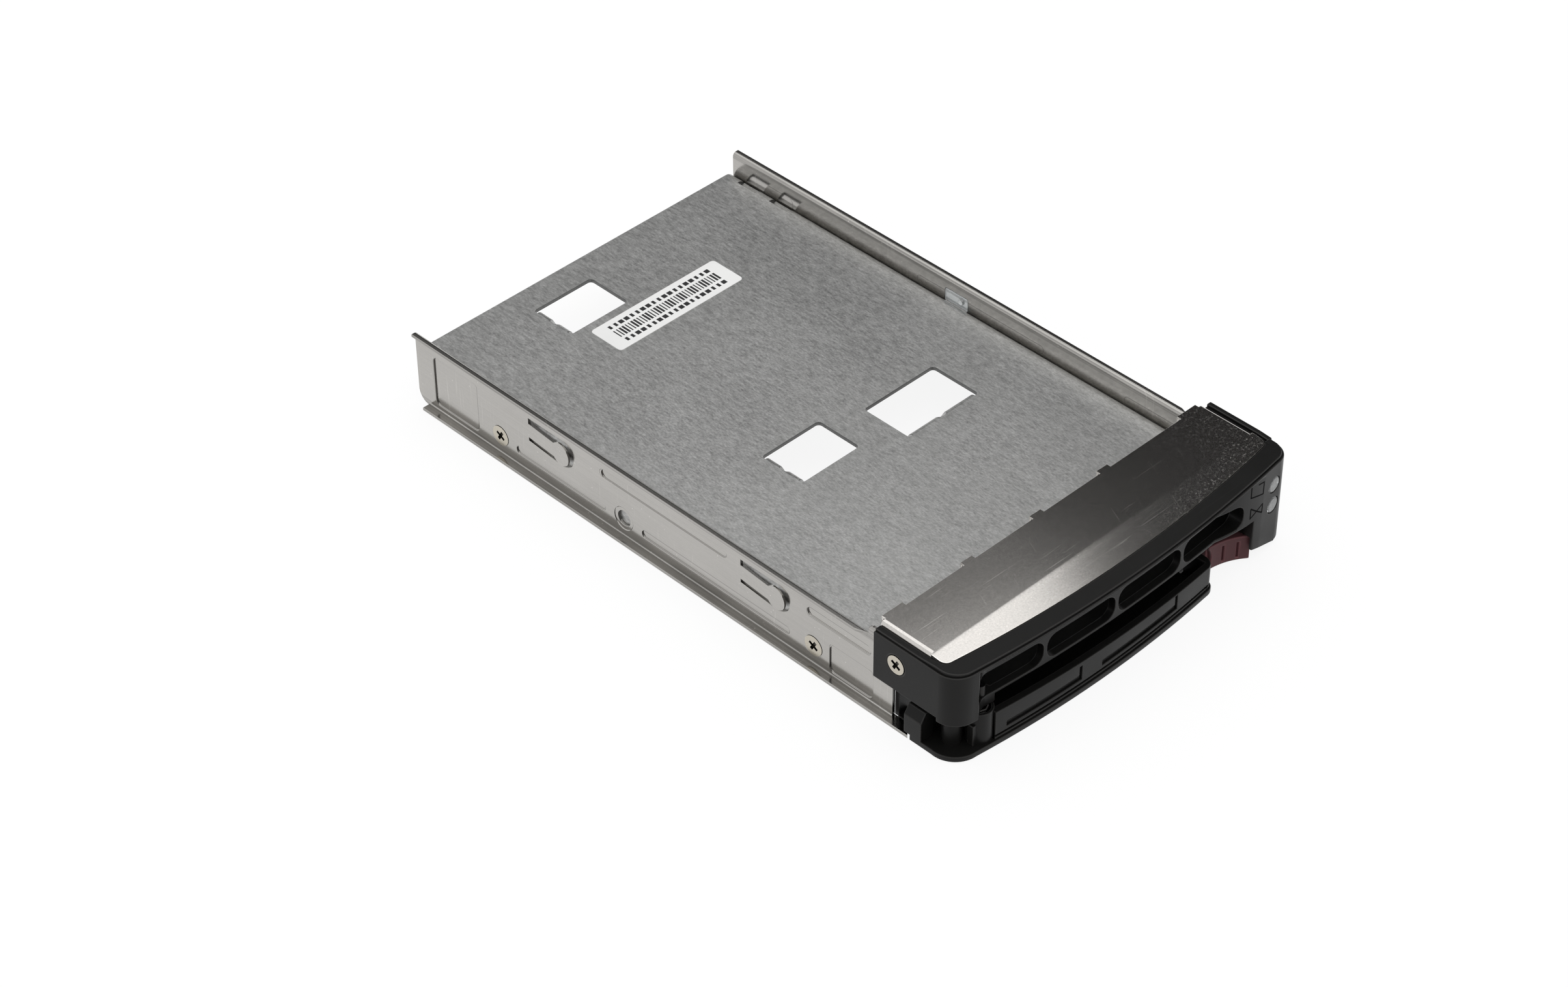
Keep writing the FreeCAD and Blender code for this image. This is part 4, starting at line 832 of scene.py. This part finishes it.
class TRAY_OT_rails(bpy.types.Operator):
    """Dress the two formed side rails in satin steel"""
    bl_idname = "tray.rails"
    bl_label = "Side rails"

    def execute(self, context):
        metal = context.scene.tray_metal
        for node in ("left_rail", "right_rail"):
            bm = fresh_mesh(node)
            # Painted shade on the rails' front ends, which stand in the dark gap at the bezel
            mark_painted_shade(bm, lambda face: metal.painted_shade_on_cuts * looks_ahead(face))
            edges = sharp_edges(bm, lambda edge: not any(looks_ahead(face) for face in edge.link_faces))
            round_edges(bm, edges, metal.rail_edge, segments=1)
            piece(node + "_finish", bm, rail_steel(), "tray", (node,))
        return {"FINISHED"}


class TRAY_OT_plate(bpy.types.Operator):
    """Dress the windowed plate in zinc coated steel"""
    bl_idname = "tray.plate"
    bl_label = "Converter plate"

    def execute(self, context):
        metal = context.scene.tray_metal
        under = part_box("converter_plate")[1].z - metal.plate_thick

        def sheared(face):
            return abs(face.normal.z) < UPRIGHT and min(vert.co.z for vert in face.verts) > under

        bm = fresh_mesh("converter_plate")
        # Painted shade on the plate's upright cut walls
        mark_painted_shade(bm, lambda face: metal.painted_shade_on_cuts * sheared(face))
        round_edges(bm, sharp_edges(bm), metal.plate_edge)
        piece("converter_plate_finish", bm, plate_steel(), "tray", ("converter_plate",))
        return {"FINISHED"}


class TRAY_OT_label(bpy.types.Operator):
    """Lay the paper label on the plate and print plain bars and dashes on it"""
    bl_idname = "tray.label"
    bl_label = "Label"

    def execute(self, context):
        label = context.scene.tray_label
        dressed("label", label_paper(), "tray", LABEL_EDGE)
        low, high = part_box("label")
        middle = (low + high) / 2
        start = middle.x - label.print_long / 2
        rows = ((0.0, label.bars, label.bar_high, BAR_FILL),
                (label.row_gap, label.dashes, label.dash_high, DASH_FILL),
                (-label.row_gap, label.dashes, label.dash_high, DASH_FILL))
        bm = bmesh.new()
        for shift, count, tall, filled in rows:
            pitch = label.print_long / count
            for k in range(count):
                wide = pitch * (filled + WIDE_MORE * (k // 2 % 2))
                place = (start + (k + 0.5) * pitch, middle.y + shift, high.z + INK_THICK / 2)
                add_block(bm, place, (wide, tall, INK_THICK))
        piece("label_bars", bm, label_ink(), "tray")
        return {"FINISHED"}


def engraved_line(bm, surface, start, end, wide):
    """A thin line in short steps on the front of a surface, between two (across, upright) places in mm."""
    steps = max(1, round(math.dist(start, end) / MARK_STEP))
    spots = []
    for k in range(steps + 1):
        across, up = [(a + (b - a) * k / steps) * MM for a, b in zip(start, end)]
        place, normal, _, _ = surface.ray_cast(Vector((across, AHEAD_Y, up)), REARWARD)
        if place is None:
            raise RuntimeError("an engraved line misses the bezel")
        spots.append((place, normal))
    for (place, normal), (after, turned) in zip(spots, spots[1:]):
        run = after - place
        along = run.normalized()
        out = (normal + turned).normalized()
        side = along.cross(out).normalized()
        turn = Matrix((along, side, out)).transposed().to_4x4()
        add_block(bm, (place + after) / 2, (run.length + wide / 2, wide, MARK_THICK), turn)


class TRAY_OT_bezel(bpy.types.Operator):
    """Dress the bowed bezel and engrave two plain marks beside its lenses"""
    bl_idname = "tray.bezel"
    bl_label = "Bezel"

    def execute(self, context):
        plastic = context.scene.tray_plastic
        dressed("bezel_frame", black_plastic(), "tray", plastic.bezel_edge, pick=moulded_edge)
        surface = BVHTree.FromBMesh(fresh_mesh("bezel_frame"))
        bm = bmesh.new()
        for start, end in BEZEL_MARKS:
            engraved_line(bm, surface, start, end, plastic.mark_wide)
        piece("bezel_marks", bm, mark_plastic(), "tray")
        return {"FINISHED"}


class TRAY_OT_cover(bpy.types.Operator):
    """Dress the folded bezel cover in bright steel"""
    bl_idname = "tray.cover"
    bl_label = "Bezel cover"

    def execute(self, context):
        dressed("bezel_cover", cover_steel(), "tray", context.scene.tray_metal.cover_edge)
        return {"FINISHED"}


class TRAY_OT_lever(bpy.types.Operator):
    """Dress the ejector lever"""
    bl_idname = "tray.lever"
    bl_label = "Ejector lever"

    def execute(self, context):
        plastic = context.scene.tray_plastic
        dressed("lever_handle", black_plastic(), "lever", plastic.lever_edge, pick=moulded_edge)
        return {"FINISHED"}


class TRAY_OT_ribs(bpy.types.Operator):
    """Add the small ribs that close the pivot, the arm's foot and the channel from below"""
    bl_idname = "tray.ribs"
    bl_label = "Small ribs"

    def execute(self, context):
        for name, body, low, high in RIBS:
            bm = bmesh.new()
            middle = [(a + b) / 2 * MM for a, b in zip(low, high)]
            add_block(bm, middle, [(b - a) * MM for a, b in zip(low, high)])
            round_edges(bm, bm.edges[:], RIB_EDGE)
            piece(name, bm, black_plastic(), body)
        return {"FINISHED"}


class TRAY_OT_latch(bpy.types.Operator):
    """Dress the release latch"""
    bl_idname = "tray.latch"
    bl_label = "Release latch"

    def execute(self, context):
        plastic = context.scene.tray_plastic
        dressed("release_latch", burgundy_plastic(), "latch", plastic.latch_edge, segments=3,
                pick=lambda edge: edge.is_convex)
        return {"FINISHED"}


class TRAY_OT_screws(bpy.types.Operator):
    """Dress the countersunk screws in nickel"""
    bl_idname = "tray.screws"
    bl_label = "Screws"

    def execute(self, context):
        metal = context.scene.tray_metal
        for node in sorted(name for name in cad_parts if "_screw_" in name):
            low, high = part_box(node)
            side, head = (-1.0, low.x) if "left" in node else (1.0, high.x)
            bm = fresh_mesh(node)
            # Painted shade in the cross recess of each screw head
            mark_painted_shade(bm, lambda face: float((head - face.calc_center_median().x) * side > RECESS_DEPTH))
            round_edges(bm, sharp_edges(bm), metal.screw_edge)
            piece(node + "_finish", bm, nickel(), "tray", (node,))
        return {"FINISHED"}


class TRAY_OT_guides(bpy.types.Operator):
    """Dress the clear light guides and their clip"""
    bl_idname = "tray.guides"
    bl_label = "Light guides"

    def execute(self, context):
        plastic = context.scene.tray_plastic
        for node in ("light_guide_upper", "light_guide_lower"):
            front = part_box(node)[0].y + LENS_DEPTH
            dressed(node, clear_plastic(), "tray", plastic.lens_edge, segments=3,
                    pick=lambda edge: max(vert.co.y for vert in edge.verts) < front)
        dressed("light_guide_clip", clear_plastic(), "tray", CLIP_EDGE)
        return {"FINISHED"}


class TRAY_OT_hardware(bpy.types.Operator):
    """Finish the pins, the clip ring and the springs"""
    bl_idname = "tray.hardware"
    bl_label = "Pins and springs"

    def execute(self, context):
        for node in ("lever_pivot_pin", "pivot_clip", "lever_spring", "latch_guide_pin"):
            plain_finish(node, oxide_and_painted_shade())
        low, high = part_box("latch_spring")
        piece("latch_spring_coil", fresh_mesh("latch_spring"), oxide_and_painted_shade(), "latch",
              ("latch_spring",), (low, Vector((high.x, low.y, low.z))))
        return {"FINISHED"}


# Stage

# Plain colours, then sizes of the floor and the camera
WHITE = (1.0, 1.0, 1.0)
BLACK = (0.0, 0.0, 0.0)
FLOOR_SIDE = 30.0
FLOOR_DROP = 0.2 * MM
SENSOR_WIDE = 36.0
NEAREST_SEEN = 0.01


def seen_rays(tree):
    """One for what the camera sees, straight on, in a mirror or through a clear piece."""
    path = new_node(tree, "ShaderNodeLightPath").outputs
    straight = most(tree, path["Is Camera Ray"], path["Is Glossy Ray"])
    return most(tree, straight, path["Is Transmission Ray"])


def stage_paper(name, tint, glow):
    """Matt paper with a light of its own; returns the material, its tree and its shader."""
    mat, tree, bsdf, _ = blank_material(name)
    bsdf.inputs["Base Color"].default_value = (*tint, 1.0)
    bsdf.inputs["Roughness"].default_value = 1.0
    bsdf.inputs["Specular IOR Level"].default_value = 0.0
    bsdf.inputs["Emission Color"].default_value = (*glow, 1.0)
    bsdf.inputs["Emission Strength"].default_value = 1.0
    return mat, tree, bsdf


def stage_plane(name, material, place, size):
    """A flat stage piece; place turns and moves it, size is its two sides."""
    bm = bmesh.new()
    bmesh.ops.create_grid(bm, x_segments=1, y_segments=1, size=0.5,
                          matrix=place @ Matrix.Diagonal((*size, 1.0, 1.0)))
    obj = new_object(name, bm, material)
    return obj


def set_floor(stage):
    """Pale floor that the camera and mirrors see as white, with the tray's shadow kept."""
    paper, tree, bsdf = stage_paper("floor_paper", stage.floor, WHITE)
    link(tree, times(tree, seen_rays(tree), stage.floor_glow), bsdf.inputs["Emission Strength"])
    stage_plane("floor", paper, Matrix.Translation((0.0, 0.0, -FLOOR_DROP)), (FLOOR_SIDE, FLOOR_SIDE))


def set_cards(stage):
    """A dark card beside the panel and a grey one behind it, which only shape reflections."""
    turned = Matrix.Translation(stage.panel_place) @ Matrix.Rotation(stage.panel_turn, 4, "Z")
    wide, long, reach = stage.panel_wide, stage.panel_long, stage.card_reach
    cards = (
        ("card_beside", "dark_card", stage.dark_card, ((wide + reach) / 2, reach / 2, 0.0),
         (reach, long + reach)),
        ("card_behind", "grey_card", stage.grey_card, (0.0, (long + reach) / 2, 0.0), (wide, reach)),
    )
    for name, paper, glow, shift, size in cards:
        card = stage_plane(name, stage_paper(paper, BLACK, glow)[0], turned @ Matrix.Translation(shift), size)
        card.visible_camera = False
        card.visible_diffuse = False
        card.visible_shadow = False


def set_panel(stage, scene):
    """The overhead soft panel."""
    lamp = bpy.data.lights.new("overhead_panel", "AREA")
    lamp.shape = "RECTANGLE"
    lamp.size = stage.panel_wide
    lamp.size_y = stage.panel_long
    lamp.energy = stage.panel_power
    panel = bpy.data.objects.new("overhead_panel", lamp)
    panel.location = stage.panel_place
    panel.rotation_euler = (0.0, 0.0, stage.panel_turn)
    scene.collection.objects.link(panel)


def set_room(stage, scene):
    """Even white light from all around, full white where it is seen."""
    world = bpy.data.worlds.new("white_room")
    world.use_nodes = True
    tree = world.node_tree
    back = tree.nodes["Background"]
    back.inputs["Color"].default_value = (*WHITE, 1.0)
    level = vary(tree, seen_rays(tree), spread=1.0 - stage.world, level=stage.world)
    link(tree, level, back.inputs["Strength"])
    scene.world = world


def set_camera(stage, scene):
    """The camera, ahead of the tray and to its left, looking down on it."""
    data = bpy.data.cameras.new("camera")
    data.sensor_width = SENSOR_WIDE
    data.lens = stage.lens
    data.clip_start = NEAREST_SEEN
    camera = bpy.data.objects.new("camera", data)
    camera.matrix_world = Matrix.LocRotScale(stage.camera_place, stage.camera_turn, None)
    scene.collection.objects.link(camera)
    scene.camera = camera


class TRAY_OT_stage(bpy.types.Operator):
    """Set the pale floor, the soft panel, its two cards, the room light and the camera"""
    bl_idname = "tray.stage"
    bl_label = "Studio stage"

    def execute(self, context):
        scene = context.scene
        stage = scene.tray_stage
        scene.view_settings.view_transform = "Standard"
        set_floor(stage)
        set_cards(stage)
        set_panel(stage, scene)
        set_room(stage, scene)
        set_camera(stage, scene)
        return {"FINISHED"}


PIECES = (TRAY_OT_rails, TRAY_OT_plate, TRAY_OT_label, TRAY_OT_bezel, TRAY_OT_cover, TRAY_OT_lever,
          TRAY_OT_ribs, TRAY_OT_latch, TRAY_OT_screws, TRAY_OT_guides, TRAY_OT_hardware, TRAY_OT_stage)


class TRAY_PT_panel(bpy.types.Panel):
    """Lists the steps that dress the tray"""
    bl_idname = "TRAY_PT_panel"
    bl_label = "Drive converter tray"
    bl_space_type = "VIEW_3D"
    bl_region_type = "UI"
    bl_category = "Drive Tray"

    def draw(self, context):
        for step in PIECES:
            self.layout.operator(step.bl_idname, text=step.bl_label)


SETTINGS = {"tray_metal": TrayMetalSettings, "tray_plastic": TrayPlasticSettings,
            "tray_label": TrayLabelSettings, "tray_stage": TrayStageSettings}


def register():
    for group_class in SETTINGS.values():
        bpy.utils.register_class(group_class)
    for key, group_class in SETTINGS.items():
        setattr(bpy.types.Scene, key, PointerProperty(type=group_class))
    for step in PIECES:
        bpy.utils.register_class(step)
    bpy.utils.register_class(TRAY_PT_panel)


def unregister():
    bpy.utils.unregister_class(TRAY_PT_panel)
    for step in reversed(PIECES):
        bpy.utils.unregister_class(step)
    for key in SETTINGS:
        delattr(bpy.types.Scene, key)
    for group_class in reversed(list(SETTINGS.values())):
        bpy.utils.unregister_class(group_class)


def main():
    register()
    for step in PIECES:
        prefix, name = step.bl_idname.split(".")
        getattr(getattr(bpy.ops, prefix), name)()


if __name__ == "__main__":
    main()
